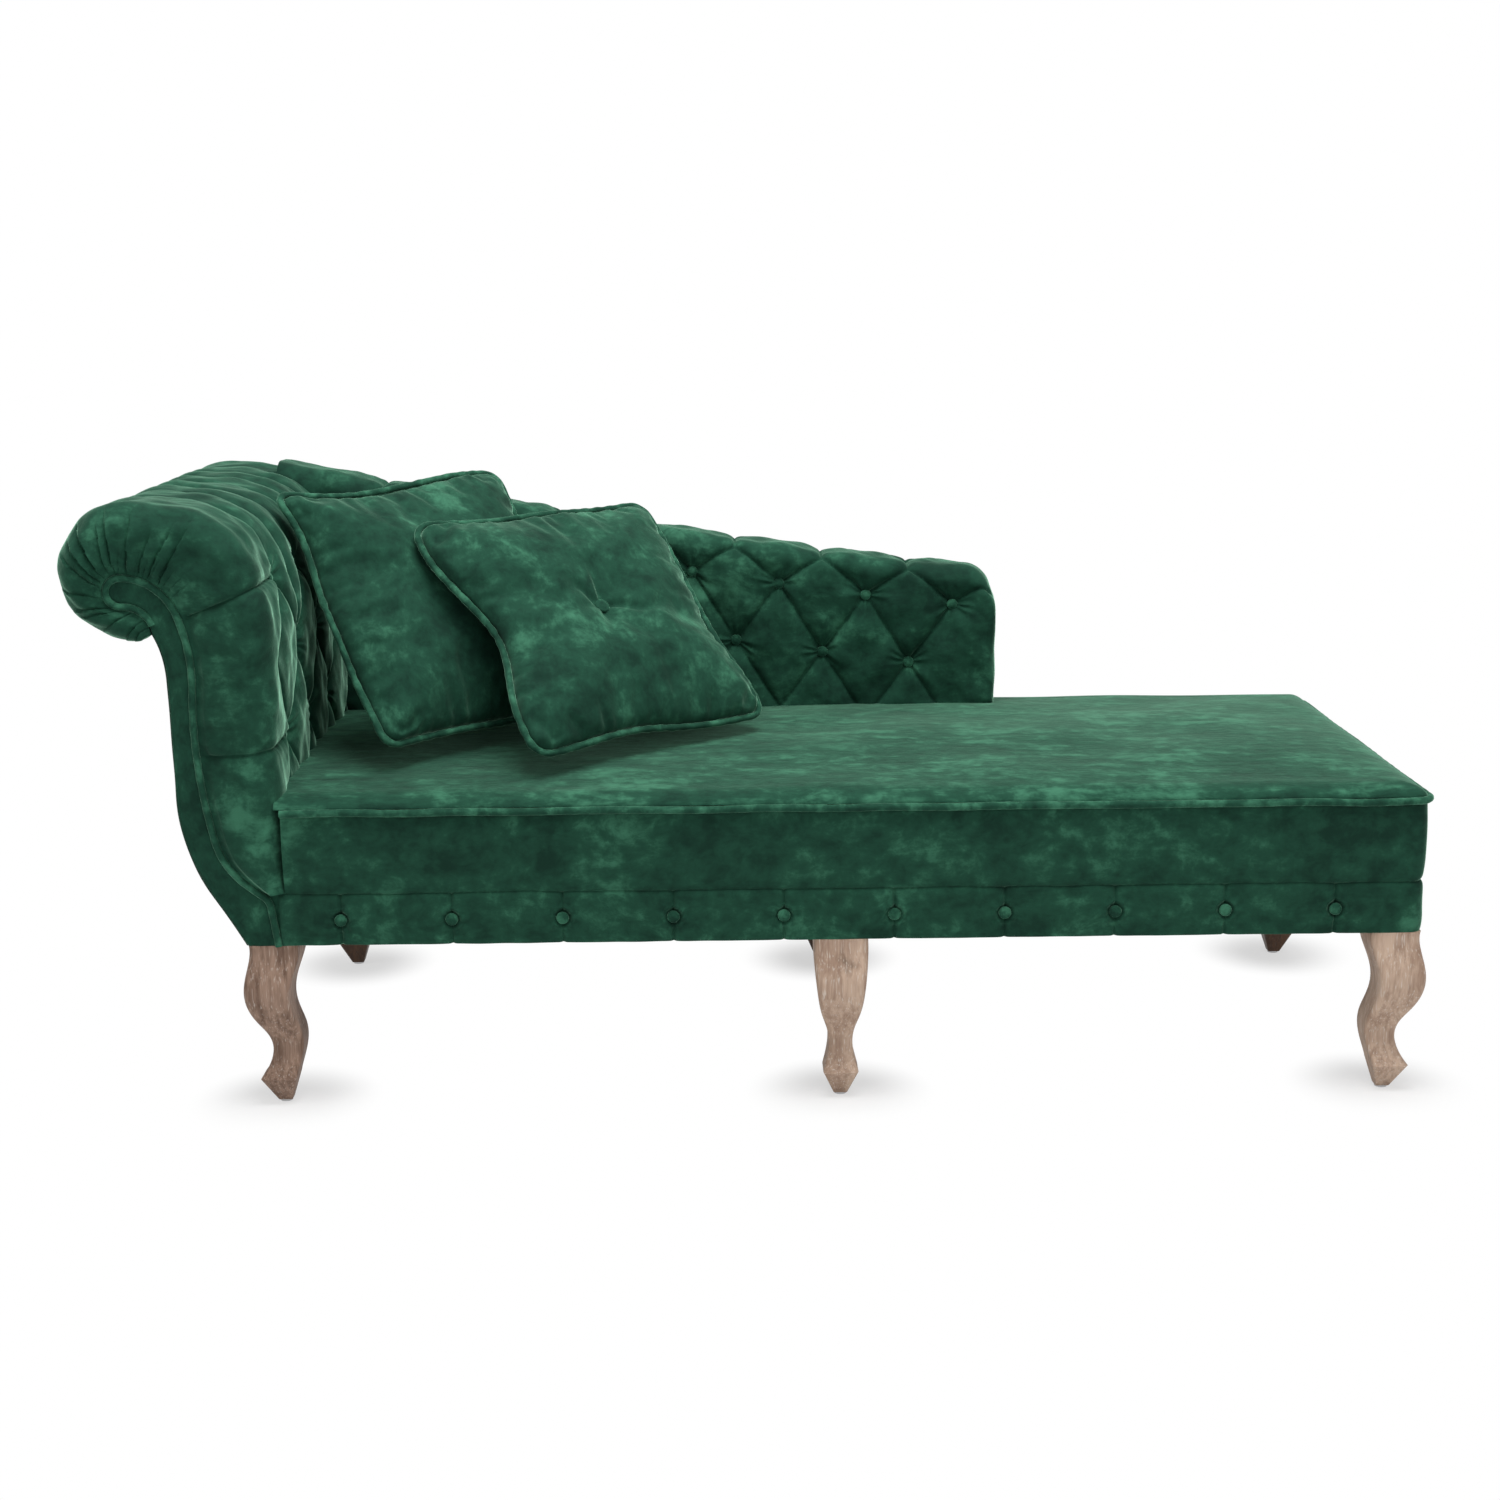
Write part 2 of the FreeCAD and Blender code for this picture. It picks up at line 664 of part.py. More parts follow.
def leg_slice(x, y, z, half_x, half_y):
    """One level of a leg: a square with worn round corners."""
    corner = LEG_EASE * min(half_x, half_y)
    outline = Part.makePolygon([
        Vector(x - half_x, y - half_y, z), Vector(x + half_x, y - half_y, z),
        Vector(x + half_x, y + half_y, z), Vector(x - half_x, y + half_y, z),
        Vector(x - half_x, y - half_y, z)])
    slab = Part.Face(outline).extrude(Vector(0, 0, 1.0))
    stiles = [edge for edge in slab.Edges if abs(edge.tangentAt(edge.FirstParameter).z) > 0.5]
    eased = slab.makeFillet(corner, stiles)
    for face in eased.Faces:
        if abs(face.CenterOfMass.z - z) < TOUCHING:
            return face.OuterWire


def cabriole(x, y, toe_x, toe_y, wide):
    """An S-shaped leg: square block, knee, thin ankle, and a foot with a sharp ridge.

    Sway is how far a level stands out towards the toe."""
    stations = [
        ((1.0, 1.0), 0.0),
        (LEG_NECK, LEG_KNEE / 10.0),
        (LEG_KNEE_LEVEL, LEG_KNEE),
        (LEG_CALF, LEG_KNEE / 10.0),
        (LEG_ANKLE_LEVEL, -LEG_ANKLE),
        (LEG_HEEL, -0.4 * LEG_ANKLE),
        (LEG_RIDGE, LEG_TOE),
    ]
    deep = LEG_BLOCK / 2.0
    levels = []
    for (share, size), sway in stations:
        half_x = wide / 2.0 * size
        if toe_x == 0.0:
            near_waist = 1.0 - 2.0 * abs(share - MIDDLE_LEG_WAIST)
            half_x *= 1.0 - MIDDLE_LEG_SLIM * near_waist ** 2
        levels.append(leg_slice(x + sway * toe_x, y + sway * toe_y, share * LEG_HEIGHT,
                                half_x, deep * size))
    upper = Part.makeLoft(levels, True, False)
    ridge = levels[-1]
    pad = leg_slice(x, y, GLIDE_THICK, LEG_PAD, LEG_PAD)
    lower = Part.makeLoft([ridge, pad], True, True)
    return upper.fuse(lower).removeSplitter()


def leg_parts():
    plates = []
    screws = []
    bolts = []
    glides = []
    for name, x, y, toe_x, toe_y in leg_places():
        wide = MIDDLE_LEG_WIDE if toe_x == 0.0 else LEG_BLOCK
        leg = cabriole(x, y, toe_x, toe_y, wide)
        leg = leg.cut([hanger_bolt(x, y, BORE_CLEARANCE), glide(x, y, BORE_CLEARANCE)])
        save(name, leg)
        half = PLATE_SIDE / 2.0
        plate = block(x - half, x + half, y - half, y + half, LEG_HEIGHT, RAIL_BOTTOM)
        plates.append(plate.cut(fixing_cutters()))
        bolts.append(hanger_bolt(x, y, 0.0))
        glides.append(glide(x, y, 0.0))
        for at_x, at_y in screw_places(x, y):
            screws.append(screw(at_x, at_y, 0.0))
    save("leg_mounting_plates", together(plates))
    save("leg_plate_screws", together(screws))
    save("leg_hanger_bolts", together(bolts))
    save("leg_glides", together(glides))


# Timber seat frame

def frame_parts():
    cutters = fixing_cutters()
    front = block(BAND_START_X, RAIL_OUT_X, -RAIL_OUT_Y, -RAIL_IN_Y, RAIL_BOTTOM, RAIL_TOP)
    corner = SEAT_CORNER - CLOTH - WADDING - GAP
    stiles = []
    for edge in front.Edges:
        middle = edge.CenterOfMass
        if abs(middle.x - RAIL_OUT_X) < TOUCHING and abs(middle.y + RAIL_OUT_Y) < TOUCHING:
            stiles.append(edge)
    front = front.makeFillet(corner, stiles).cut(cutters)
    save("seat_rail_front", front)
    save("seat_rail_rear", mirrored_y(front))
    foot = block(RAIL_IN_X, RAIL_OUT_X, -RAIL_IN_Y, RAIL_IN_Y, RAIL_BOTTOM, RAIL_TOP)
    save("seat_rail_foot_end", foot.cut(cutters))
    head = block(HEAD_RAIL_X, HEAD_RAIL_X + RAIL_THICK, -BOARD_IN_Y, BOARD_IN_Y,
                 RAIL_BOTTOM, RAIL_TOP)
    save("seat_rail_head_end", head.cut(cutters))

    head_inner = HEAD_RAIL_X + RAIL_THICK
    blocks = []
    for side in (-1.0, 1.0):
        y0, y1 = sorted((side * RAIL_IN_Y, side * (RAIL_IN_Y - BLOCK_DEEP)))
        for x0 in (head_inner, MIDDLE_LEG_X - BLOCK_LONG / 2.0, RAIL_IN_X - BLOCK_LONG):
            blocks.append(block(x0, x0 + BLOCK_LONG, y0, y1, RAIL_BOTTOM, RAIL_BOTTOM + BLOCK_TALL))
    save("corner_blocks", together([piece.cut(cutters) for piece in blocks]))

    cross = []
    for x in ((head_inner + MIDDLE_LEG_X) / 2.0, (MIDDLE_LEG_X + RAIL_IN_X) / 2.0):
        cross.append(block(x - CROSS_RAIL_WIDE / 2.0, x + CROSS_RAIL_WIDE / 2.0,
                           -RAIL_IN_Y, RAIL_IN_Y, RAIL_BOTTOM, RAIL_BOTTOM + CROSS_RAIL_TALL))
    save("seat_cross_rails", together(cross))

    cloth = block(head_inner - RAIL_THICK + ROOM, RAIL_OUT_X - corner, -RAIL_IN_Y - ROOM,
                  RAIL_IN_Y + ROOM, RAIL_BOTTOM - GAP - DUST_CLOTH, RAIL_BOTTOM - GAP)
    half = PLATE_SIDE / 2.0 + ROOM
    holes = []
    for place in leg_places():
        x, y = place[1:3]
        holes.append(block(x - half, x + half, y - half, y + half, LEG_HEIGHT, RAIL_TOP))
    save("dust_cover", tidy(cloth.cut(holes)))


# Springs

def spring_xs():
    step = (RAIL_OUT_X - BAND_START_X) / SPRING_COUNT
    return [BAND_START_X + (i + 0.5) * step for i in range(SPRING_COUNT)]


def sinuous_spring(x):
    """A flat zigzag of wire: straight bars joined by half circles."""
    rows = 2 * int(SPRING_END_Y / SPRING_PITCH) + 1
    radius = SPRING_END_Y / rows
    reach = SPRING_WIDE / 2.0 - radius
    edges = []
    side = 1.0
    y = -SPRING_END_Y
    edges.append(Part.makeLine(Vector(x - CLIP_LONG, y, SPRING_Z), Vector(x + reach, y, SPRING_Z)))
    for row in range(rows):
        turn = Part.Arc(Vector(x + side * reach, y, SPRING_Z),
                        Vector(x + side * (reach + radius), y + radius, SPRING_Z),
                        Vector(x + side * reach, y + 2.0 * radius, SPRING_Z))
        edges.append(turn.toShape())
        y += 2.0 * radius
        end = -side * reach
        if row == rows - 1:
            end = -side * CLIP_LONG
        edges.append(Part.makeLine(Vector(x + side * reach, y, SPRING_Z),
                                   Vector(x + end, y, SPRING_Z)))
        side = -side
    return tube(edges, SPRING_WIRE)


def spring_parts():
    springs = []
    clips = []
    for x in spring_xs():
        springs.append(sinuous_spring(x))
        for y in (-SPRING_END_Y, SPRING_END_Y):
            clip = block(x - CLIP_LONG / 2.0, x + CLIP_LONG / 2.0, y - CLIP_DEEP / 2.0,
                         y + CLIP_DEEP / 2.0, RAIL_TOP, RAIL_TOP + CLIP_TALL)
            bore = Part.makeCylinder(SPRING_WIRE + BORE_CLEARANCE, 2.0 * CLIP_LONG,
                                     Vector(x - CLIP_LONG, y, SPRING_Z), Vector(1, 0, 0))
            clips.append(clip.cut(bore))
    save("seat_springs", together(springs))
    save("spring_clips", together(clips))
    sheet = block(ARM_INNER_X + GAP, RAIL_OUT_X, -RAIL_OUT_Y, BACK_FRONT_Y, RAIL_TOP + HESSIAN_LIFT,
                  RAIL_TOP + HESSIAN_LIFT + HESSIAN)
    save("hessian_sheet", sheet)


# Seat: foam, cover, boxing, band and piping

def seat_slice(x, lift, inset):
    """One slice of the seat: flat base, upright sides, round shoulders and a low crown."""
    side = HALF_DEPTH - inset
    lip = SEAM_HEIGHT + PIPING_RADIUS + GAP
    shoulder = lip + (SEAT_SHOULDER - lip) * lift - inset
    crown = lip + (SEAT_CROWN - lip) * lift - inset
    lip -= inset
    inner = HALF_DEPTH - SHOULDER_WIDE
    bend_y = (side + inner) / 2.0 + SHOULDER_SHIFT
    bend = shoulder - (shoulder - lip) * SHOULDER_FULL
    base = SEAT_BASE
    edges = [Part.makeLine(Vector(x, -side, base), Vector(x, -side, lip))]
    edges.append(Part.Arc(Vector(x, -side, lip), Vector(x, -bend_y, bend),
                          Vector(x, -inner, shoulder)).toShape())
    edges.append(Part.Arc(Vector(x, -inner, shoulder), Vector(x, 0, crown),
                          Vector(x, inner, shoulder)).toShape())
    edges.append(Part.Arc(Vector(x, inner, shoulder), Vector(x, bend_y, bend),
                          Vector(x, side, lip)).toShape())
    edges.append(Part.makeLine(Vector(x, side, lip), Vector(x, side, base)))
    edges.append(Part.makeLine(Vector(x, side, base), Vector(x, -side, base)))
    return Part.Wire(edges)


def seat_body(inset):
    """The crowned seat from the arm to the foot end, where its top rounds down to the seam."""
    end = FOOT_X - inset
    slices = []
    for step in range(SEAT_END_STEPS + 1):
        turn = math.pi / 2.0 * step / SEAT_END_STEPS
        lift = max(math.sin(turn), SEAT_END_LIFT)
        slices.append(seat_slice(end - SEAT_END_ROUND * (1.0 - math.cos(turn)), lift, inset))
    slices.append(seat_slice(ARM_INNER_X + GAP, 1.0, inset))
    body = Part.makeLoft(slices, True, True)
    radius = SEAT_CORNER - inset
    for side in (-1.0, 1.0):
        y = side * (HALF_DEPTH - inset)
        y0, y1 = sorted((y - side * radius, y + side * ROOM))
        square = block(end - radius, end + ROOM, y0, y1, SEAT_BASE - ROOM, ARM_HEIGHT)
        pillar = Part.makeCylinder(radius, ARM_HEIGHT, Vector(end - radius, y - side * radius, 0))
        body = body.cut(square.cut(pillar))
    return body


def belt_path(start_x, end_x, out, z):
    """The line round the front, the foot end and the rear, as far out as asked."""
    y = HALF_DEPTH + out
    x = FOOT_X + out
    radius = SEAT_CORNER + out
    bow = radius * math.sqrt(0.5)
    middle_x = x - radius + bow
    middle_y = y - radius + bow
    front_arc = Part.Arc(Vector(x - radius, -y, z), Vector(middle_x, -middle_y, z),
                         Vector(x, radius - y, z))
    rear_arc = Part.Arc(Vector(x, y - radius, z), Vector(middle_x, middle_y, z),
                        Vector(x - radius, y, z))
    return [
        Part.makeLine(Vector(start_x, -y, z), Vector(x - radius, -y, z)),
        front_arc.toShape(),
        Part.makeLine(Vector(x, radius - y, z), Vector(x, y - radius, z)),
        rear_arc.toShape(),
        Part.makeLine(Vector(x - radius, y, z), Vector(end_x, y, z)),
    ]


def belt(start_x, end_x, outline):
    """A strip round the seat. Its outline is drawn as edges of (inward, z) at the start."""
    path = Part.Wire(belt_path(start_x, end_x, 0.0, 0.0))
    shell = Part.BRepOffsetAPI.MakePipeShell(path)
    shell.add(Part.Wire(outline))
    shell.build()
    shell.makeSolid()
    return shell.shape()


def flat_outline(x, inner, outer, z0, z1):
    corners = [Vector(x, inner - HALF_DEPTH, z0), Vector(x, outer - HALF_DEPTH, z0),
               Vector(x, outer - HALF_DEPTH, z1), Vector(x, inner - HALF_DEPTH, z1)]
    corners.append(corners[0])
    return Part.makePolygon(corners).Edges


def band_buttons():
    """Surface points and directions of the buttons along the band."""
    z = (LEG_HEIGHT + RAIL_TOP) / 2.0
    places = []
    for i in range(BAND_BUTTON_COUNT):
        x = BAND_START_X + BAND_BUTTON_FIRST + i * BAND_BUTTON_PITCH
        places.append((Vector(x, -HALF_DEPTH - BAND_BULGE, z), Vector(0, -1, 0)))
    first = -(END_BUTTON_COUNT - 1) / 2.0 * BAND_BUTTON_PITCH
    for i in range(END_BUTTON_COUNT):
        y = first + i * BAND_BUTTON_PITCH
        places.append((Vector(FOOT_X + BAND_BULGE, y, z), Vector(1, 0, 0)))
    return places


def seat_parts():
    back_room = block(ARM_BASE_X, BACK_END_X + GAP, BACK_FRONT_Y - GAP, HALF_LENGTH,
                      RAIL_TOP, ARM_HEIGHT)
    lip = SEAM_HEIGHT + PIPING_RADIUS + GAP
    outer = seat_body(0.0).cut(back_room)
    under = block(-HALF_LENGTH, HALF_LENGTH, -HALF_LENGTH, HALF_LENGTH, RAIL_TOP, lip)
    lining = seat_body(CLOTH)
    save("seat_cover", tidy(outer.cut([lining, under])))
    save("seat_foam", tidy(seat_body(CLOTH + GAP).cut(back_room)))

    start = ARM_INNER_X + GAP
    end = BACK_END_X + GAP
    boxing = belt(start, end, flat_outline(start, 0.0, CLOTH, RAIL_TOP + GAP,
                                           SEAM_HEIGHT - PIPING_RADIUS - GAP))
    save("seat_boxing", boxing)
    save("seat_piping", tube(belt_path(start, end, PIPING_PROUD, SEAM_HEIGHT), PIPING_RADIUS))

    band_start = BAND_START_X + GAP
    front = -HALF_DEPTH
    middle = (LEG_HEIGHT + RAIL_TOP) / 2.0
    face = Part.Arc(Vector(band_start, front, LEG_HEIGHT),
                    Vector(band_start, front - BAND_BULGE, middle),
                    Vector(band_start, front, RAIL_TOP)).toShape()
    outline = [face]
    outline += Part.makePolygon([
        Vector(band_start, front, RAIL_TOP), Vector(band_start, front + CLOTH, RAIL_TOP),
        Vector(band_start, front + CLOTH, LEG_HEIGHT), Vector(band_start, front, LEG_HEIGHT),
    ]).Edges
    band = belt(band_start, end, outline)
    dimples = [tuft(at, out, BAND_TUFT_RADIUS, BAND_DIMPLE, 0.0) for at, out in band_buttons()]
    save("lower_band", tidy(band.cut(dimples)))
    knobs = [button(at, out, BUTTON_RADIUS, BAND_TUFT_RADIUS, BAND_DIMPLE)
             for at, out in band_buttons()]
    save("band_buttons", together(knobs))
    wadding = belt(band_start, end, flat_outline(band_start, CLOTH, CLOTH + WADDING,
                                                 RAIL_BOTTOM, RAIL_TOP))
    save("rail_wadding", wadding)
    return outer


# Back

def back_slice(x, low, front, rear, top, radius):
    """One slice of the back: upright faces and a top rounded at both edges."""
    bow = radius * (1.0 - math.sqrt(0.5))
    edges = [Part.makeLine(Vector(x, front, low), Vector(x, front, top - radius))]
    edges.append(Part.Arc(Vector(x, front, top - radius), Vector(x, front + bow, top - bow),
                          Vector(x, front + radius, top)).toShape())
    edges.append(Part.makeLine(Vector(x, front + radius, top), Vector(x, rear - radius, top)))
    edges.append(Part.Arc(Vector(x, rear - radius, top), Vector(x, rear - bow, top - bow),
                          Vector(x, rear, top - radius)).toShape())
    edges.append(Part.makeLine(Vector(x, rear, top - radius), Vector(x, rear, low)))
    edges.append(Part.makeLine(Vector(x, rear, low), Vector(x, front, low)))
    return Part.Wire(edges)


def back_xs(end):
    """Stations along the back, closer together round its upper corner."""
    start = ROLL_X + ROLL_RADIUS
    xs = [start + (end - BACK_CORNER - start) * i / BACK_STATIONS for i in range(BACK_STATIONS)]
    for step in range(BACK_CORNER_STEPS + 1):
        turn = math.pi / 2.0 * step / BACK_CORNER_STEPS
        xs.append(end - BACK_CORNER * (1.0 - math.sin(turn)))
    return xs


def back_height(x, end, inset):
    """Height of the top, with the round upper corner at the foot end."""
    into = max(x - (end - BACK_CORNER), 0.0)
    drop = BACK_CORNER - math.sqrt(max(BACK_CORNER ** 2 - into ** 2, 0.0))
    return back_top(x) - inset - drop


def back_soft(inset, low):
    """The padded back as one rounded body, with tufts and the pleats between them."""
    end = BACK_END_X - inset
    slices = []
    for x in back_xs(end):
        slices.append(back_slice(x, low, BACK_FRONT_Y + inset, HALF_DEPTH - inset,
                                 back_height(x, end, inset), BACK_ROLL_RADIUS - inset))
    body = Part.makeLoft(slices, True, True)
    out = Vector(0, -1, 0)
    cutters = [tuft(at, out, TUFT_RADIUS, TUFT_DEPTH, inset) for at in back_tufts()]
    for start, finish in back_pleats():
        cutters.append(groove(start, finish, out, inset))
    return body.cut(cutters)


def back_tufts():
    """Surface points of the buttons: rows that follow the top, each staggered by half a pitch."""
    places = []
    for row in range(BACK_ROWS):
        x = BACK_END_X - BACK_TUFT_FIRST - row % 2 * BACK_TUFT_PITCH / 2.0
        while x > ARM_INNER_X + TUFT_RADIUS:
            z = back_top(x) - BACK_TUFT_DROP - row * BACK_ROW_STEP
            if z > SEAT_CROWN + TUFT_RADIUS:
                places.append(Vector(x, BACK_FRONT_Y, z))
            x -= BACK_TUFT_PITCH
    return places


def back_pleats():
    """Pleat lines: from each button to its neighbours above, and from the top row to the edge."""
    lines = []
    half = BACK_TUFT_PITCH / 2.0
    tufts = back_tufts()
    for at in tufts:
        for side in (-1.0, 1.0):
            x = at.x + side * half
            rise = back_top(x) - back_top(at.x)
            above = Vector(x, BACK_FRONT_Y, at.z + BACK_ROW_STEP + rise)
            edge = back_top(x) - BACK_ROLL_RADIUS
            if x < ARM_INNER_X or x > BACK_END_X - BACK_CORNER / 2.0:
                continue
            if above.z > edge:
                share = (edge - at.z) / (above.z - at.z)
                above = at + (above - at) * share
            lines.append((at, above))
    return lines


def below_top(x0, x1, y0, y1, low, drop):
    """A flat piece whose upper edge runs the given distance under the top of the back."""
    points = [upright(x0, low)]
    for i in range(BACK_STATIONS + 1):
        x = x0 + (x1 - x0) * i / BACK_STATIONS
        points.append(upright(x, back_top(x) - drop))
    points.append(upright(x1, low))
    points.append(points[0])
    return prism(Part.makePolygon(points), y0, y1)


def back_parts(arm_zones):
    frame_end = BACK_END_X - CLOTH - GAP - BACK_END_PAD
    rear_in = HALF_DEPTH - CLOTH
    frame_rear = rear_in - GAP - ROOM
    panel_y = BACK_FRONT_Y + CLOTH + GAP + BACK_PAD
    post_y = panel_y + BACK_PANEL
    start = ARM_INNER_X + GAP
    cover_edge = BACK_TOP_PAD + GAP

    outer = back_soft(0.0, SEAT_BASE)
    lining = back_soft(CLOTH, SEAT_BASE - ROOM)
    rear_zone = below_top(start, BACK_END_X + ROOM, rear_in - ROOM, HALF_LENGTH,
                          LEG_HEIGHT, cover_edge)
    cover = outer.cut([lining, rear_zone] + arm_zones)
    save("back_inner_cover", tidy(cover))

    frame_zone = below_top(ARM_BASE_X, frame_end + GAP, panel_y - GAP, HALF_LENGTH,
                           RAIL_TOP, BACK_TOP_PAD - GAP)
    pad = back_soft(CLOTH + GAP, SEAT_BASE).cut([frame_zone] + arm_zones)
    save("back_pad", tidy(pad))

    skin = below_top(start, BACK_END_X, rear_in, HALF_DEPTH, LEG_HEIGHT, cover_edge + GAP)
    save("back_outer_cover", skin)
    save("back_panel", below_top(start, frame_end, panel_y, post_y, SEAT_BASE, BACK_TOP_PAD))
    rail = below_top(start, frame_end, post_y, frame_rear, RAIL_TOP, BACK_TOP_PAD)
    below = below_top(start - ROOM, frame_end + ROOM, post_y - ROOM, HALF_DEPTH, RAIL_TOP - ROOM,
                      BACK_TOP_PAD + BACK_TOP_RAIL_TALL)
    save("back_top_rail", rail.cut(below))
    posts = []
    springs = spring_xs()
    middles = [(springs[i] + springs[i + 1]) / 2.0 - POST_WIDE / 2.0 for i in BACK_POST_GAPS]
    for x in [start + ROOM] + middles + [frame_end - POST_WIDE]:
        post = block(x, x + POST_WIDE, post_y, frame_rear, RAIL_TOP, ARM_HEIGHT)
        posts.append(post.common(below))
    save("back_posts", together(posts))
    knobs = [button(at, Vector(0, -1, 0), BUTTON_RADIUS, TUFT_RADIUS, TUFT_DEPTH)
             for at in back_tufts()]
    save("back_buttons", together(knobs))
    return outer


# Loose cushions, drawn flat at first: X and Y in the plane of the seam, Z through the thickness

def drawn_square(half, draw, corner, z):
    """A square whose sides bow inwards between round corners: eight arcs."""
    bow = (half * half + draw * draw) / (2.0 * draw)
    centre = half - draw + bow
    reach = bow + corner
    spot = (centre - math.sqrt(2.0 * reach * reach - centre * centre)) / 2.0
    share = bow / reach
    edges = []
    for turn in range(4):
        side_a = Vector(spot * share, centre + (spot - centre) * share, z)
        middle = Vector(0, half - draw, z)
        side_b = Vector(-side_a.x, side_a.y, z)
        diagonal = -spot - corner * math.sqrt(0.5)
        tip = Vector(diagonal, -diagonal, z)
        next_a = Vector(-side_a.y, side_a.x, z)
        arcs = [Part.Arc(side_a, middle, side_b).toShape(), Part.Arc(side_b, tip, next_a).toShape()]
        for arc in arcs:
            arc.rotate(Vector(0, 0, 0), Vector(0, 0, 1), 90.0 * turn)
            edges.append(arc)
    return edges


def pillow_wire(share, half, thick, inset):
    """The outline of the stuffed cushion at a share of its half thickness."""
    side = half * math.sqrt(1.0 - share * share)
    diagonal = half * math.sqrt(1.0 - share)
    draw = max(CUSHION_DRAW * (1.0 - share) ** 2, CUSHION_LEAST_DRAW)
    corner = max((side - diagonal) / (1.0 - math.sqrt(0.5)), CUSHION_CORNER)
    corner = min(corner, CUSHION_ROUNDEST * side)
    return Part.Wire(drawn_square(side + draw - inset, draw, corner, share * thick / 2.0))


def pillow(half, thick):
    """A stuffed cushion: thin drawn-in edges, round corners and a crown on both faces."""
    shares = [math.sin(math.pi / 2.0 * step / CUSHION_STEPS) for step in range(CUSHION_STEPS)]
    shares.append(CUSHION_TOP)
    upper = Part.makeLoft([pillow_wire(share, half, thick, 0.0) for share in shares], True, False)
    lower = upper.mirror(Vector(0, 0, 0), Vector(0, 0, 1))
    return upper.fuse(lower)


def cushion_shapes(tufted):
    """Cover, filling, piping and buttons of one cushion, flat on the seam plane."""
    stuffed = CUSHION_THICK - 2.0 * CUSHION_CLOTH
    outer = pillow(CUSHION_INSIDE, CUSHION_THICK)
    lining = pillow(CUSHION_INSIDE - 4.0 * CUSHION_CLOTH, stuffed)
    filling = pillow(CUSHION_INSIDE - 5.0 * CUSHION_CLOTH, stuffed - 2.0 * GAP)
    buttons = []
    if tufted:
        for side in (-1.0, 1.0):
            out = Vector(0, 0, side)
            at = out * (CUSHION_THICK / 2.0 * CUSHION_TOP)
            outer = outer.cut(tuft(at, out, CUSHION_TUFT, CUSHION_TUFT_DEPTH, 0.0))
            lining = lining.cut(tuft(at, out, CUSHION_TUFT, CUSHION_TUFT_DEPTH, CUSHION_CLOTH))
            filling = filling.cut(tuft(at, out, CUSHION_TUFT, CUSHION_TUFT_DEPTH,
                                       CUSHION_CLOTH + GAP))
            buttons.append(button(at, out, CUSHION_BUTTON, CUSHION_TUFT, CUSHION_TUFT_DEPTH))
    seam = drawn_square(CUSHION_HALF - CUSHION_PIPING + CUSHION_DRAW, CUSHION_DRAW,
                        CUSHION_CORNER + CUSHION_PIPING, 0.0)
    piping = tube(seam, CUSHION_PIPING)
    return outer.cut(lining), filling, piping, buttons


def cushion_frame(turn, lean):
    """Directions of a leaning cushion: along its lower edge, up its face, out of its face."""
    turn = math.radians(turn)
    lean = math.radians(lean)
    along = Vector(math.cos(turn), math.sin(turn), 0)
    behind = Vector(-math.sin(turn), math.cos(turn), 0)
    up = Vector(0, 0, 1) * math.cos(lean) + behind * math.sin(lean)
    return along, up, along.cross(up)


def placed(shape, centre, turn, lean):
    along, up, out = cushion_frame(turn, lean)
    matrix = Matrix(along.x, up.x, out.x, centre.x, along.y, up.y, out.y, centre.y,
                    along.z, up.z, out.z, centre.z, 0, 0, 0, 1)
    moved = shape.copy()
    moved.Placement = Placement(matrix)
    return moved


def settle(shape, out, others):
    """How far along its own direction a cushion comes to rest just clear of the others."""
    near = -SETTLE_REACH
    far = SETTLE_REACH
    while far - near > SETTLE_WITHIN:
        middle = (near + far) / 2.0
        trial = shape.copy()
        trial.translate(out * middle)
        distance = min(trial.distToShape(other)[0] for other in others)
        if distance > CUSHION_CLEARANCE:
            far = middle
        else:
            near = middle
    return far


def cushion_parts(name, tufted, from_arm, from_back, rise, turn, lean, others):
    centre = Vector(ARM_INNER_X + from_arm, BACK_FRONT_Y - from_back, SEAT_SHOULDER + rise)
    cover, filling, piping, buttons = cushion_shapes(tufted)
    plain = placed(pillow(CUSHION_INSIDE, CUSHION_THICK).fuse(piping), centre, turn, lean)
    out = cushion_frame(turn, lean)[2]
    rest = settle(plain, out, others)
    centre = centre + out * rest
    plain.translate(out * rest)
    save(name + "_cushion_cover", placed(cover, centre, turn, lean))
    save(name + "_cushion_filling", placed(filling, centre, turn, lean))
    save(name + "_cushion_piping", placed(piping, centre, turn, lean))
    if buttons:
        save(name + "_cushion_buttons", placed(together(buttons), centre, turn, lean))
    print("%s cushion: centre (%.1f, %.1f, %.1f), lifts off along (%.4f, %.4f, %.4f)" % (
        name, centre.x, centre.y, centre.z, out.x, out.y, out.z))
    return plain


def main():
    leg_parts()
    frame_parts()
    spring_parts()
    seat = seat_parts()
    arm = arm_parts()
    arm_zone = prism(soft_wire().makeOffset2D(GAP), -HALF_LENGTH, HALF_LENGTH)
    under_roll = block(-HALF_LENGTH, ARM_INNER_X + GAP, -HALF_DEPTH, HALF_LENGTH,
                       0.0, ROLL_Z - ROLL_RADIUS)
    back = back_parts([arm_zone, under_roll])
    resting_on = [seat, arm, back]
    rear = cushion_parts("rear", False, REAR_CUSHION_FROM_ARM, REAR_CUSHION_FROM_BACK,
                         REAR_CUSHION_RISE, REAR_CUSHION_TURN, REAR_CUSHION_LEAN, resting_on)
    cushion_parts("front", True, FRONT_CUSHION_FROM_ARM, FRONT_CUSHION_FROM_BACK,
                  FRONT_CUSHION_RISE, FRONT_CUSHION_TURN, FRONT_CUSHION_LEAN,
                  resting_on + [rear])


main()
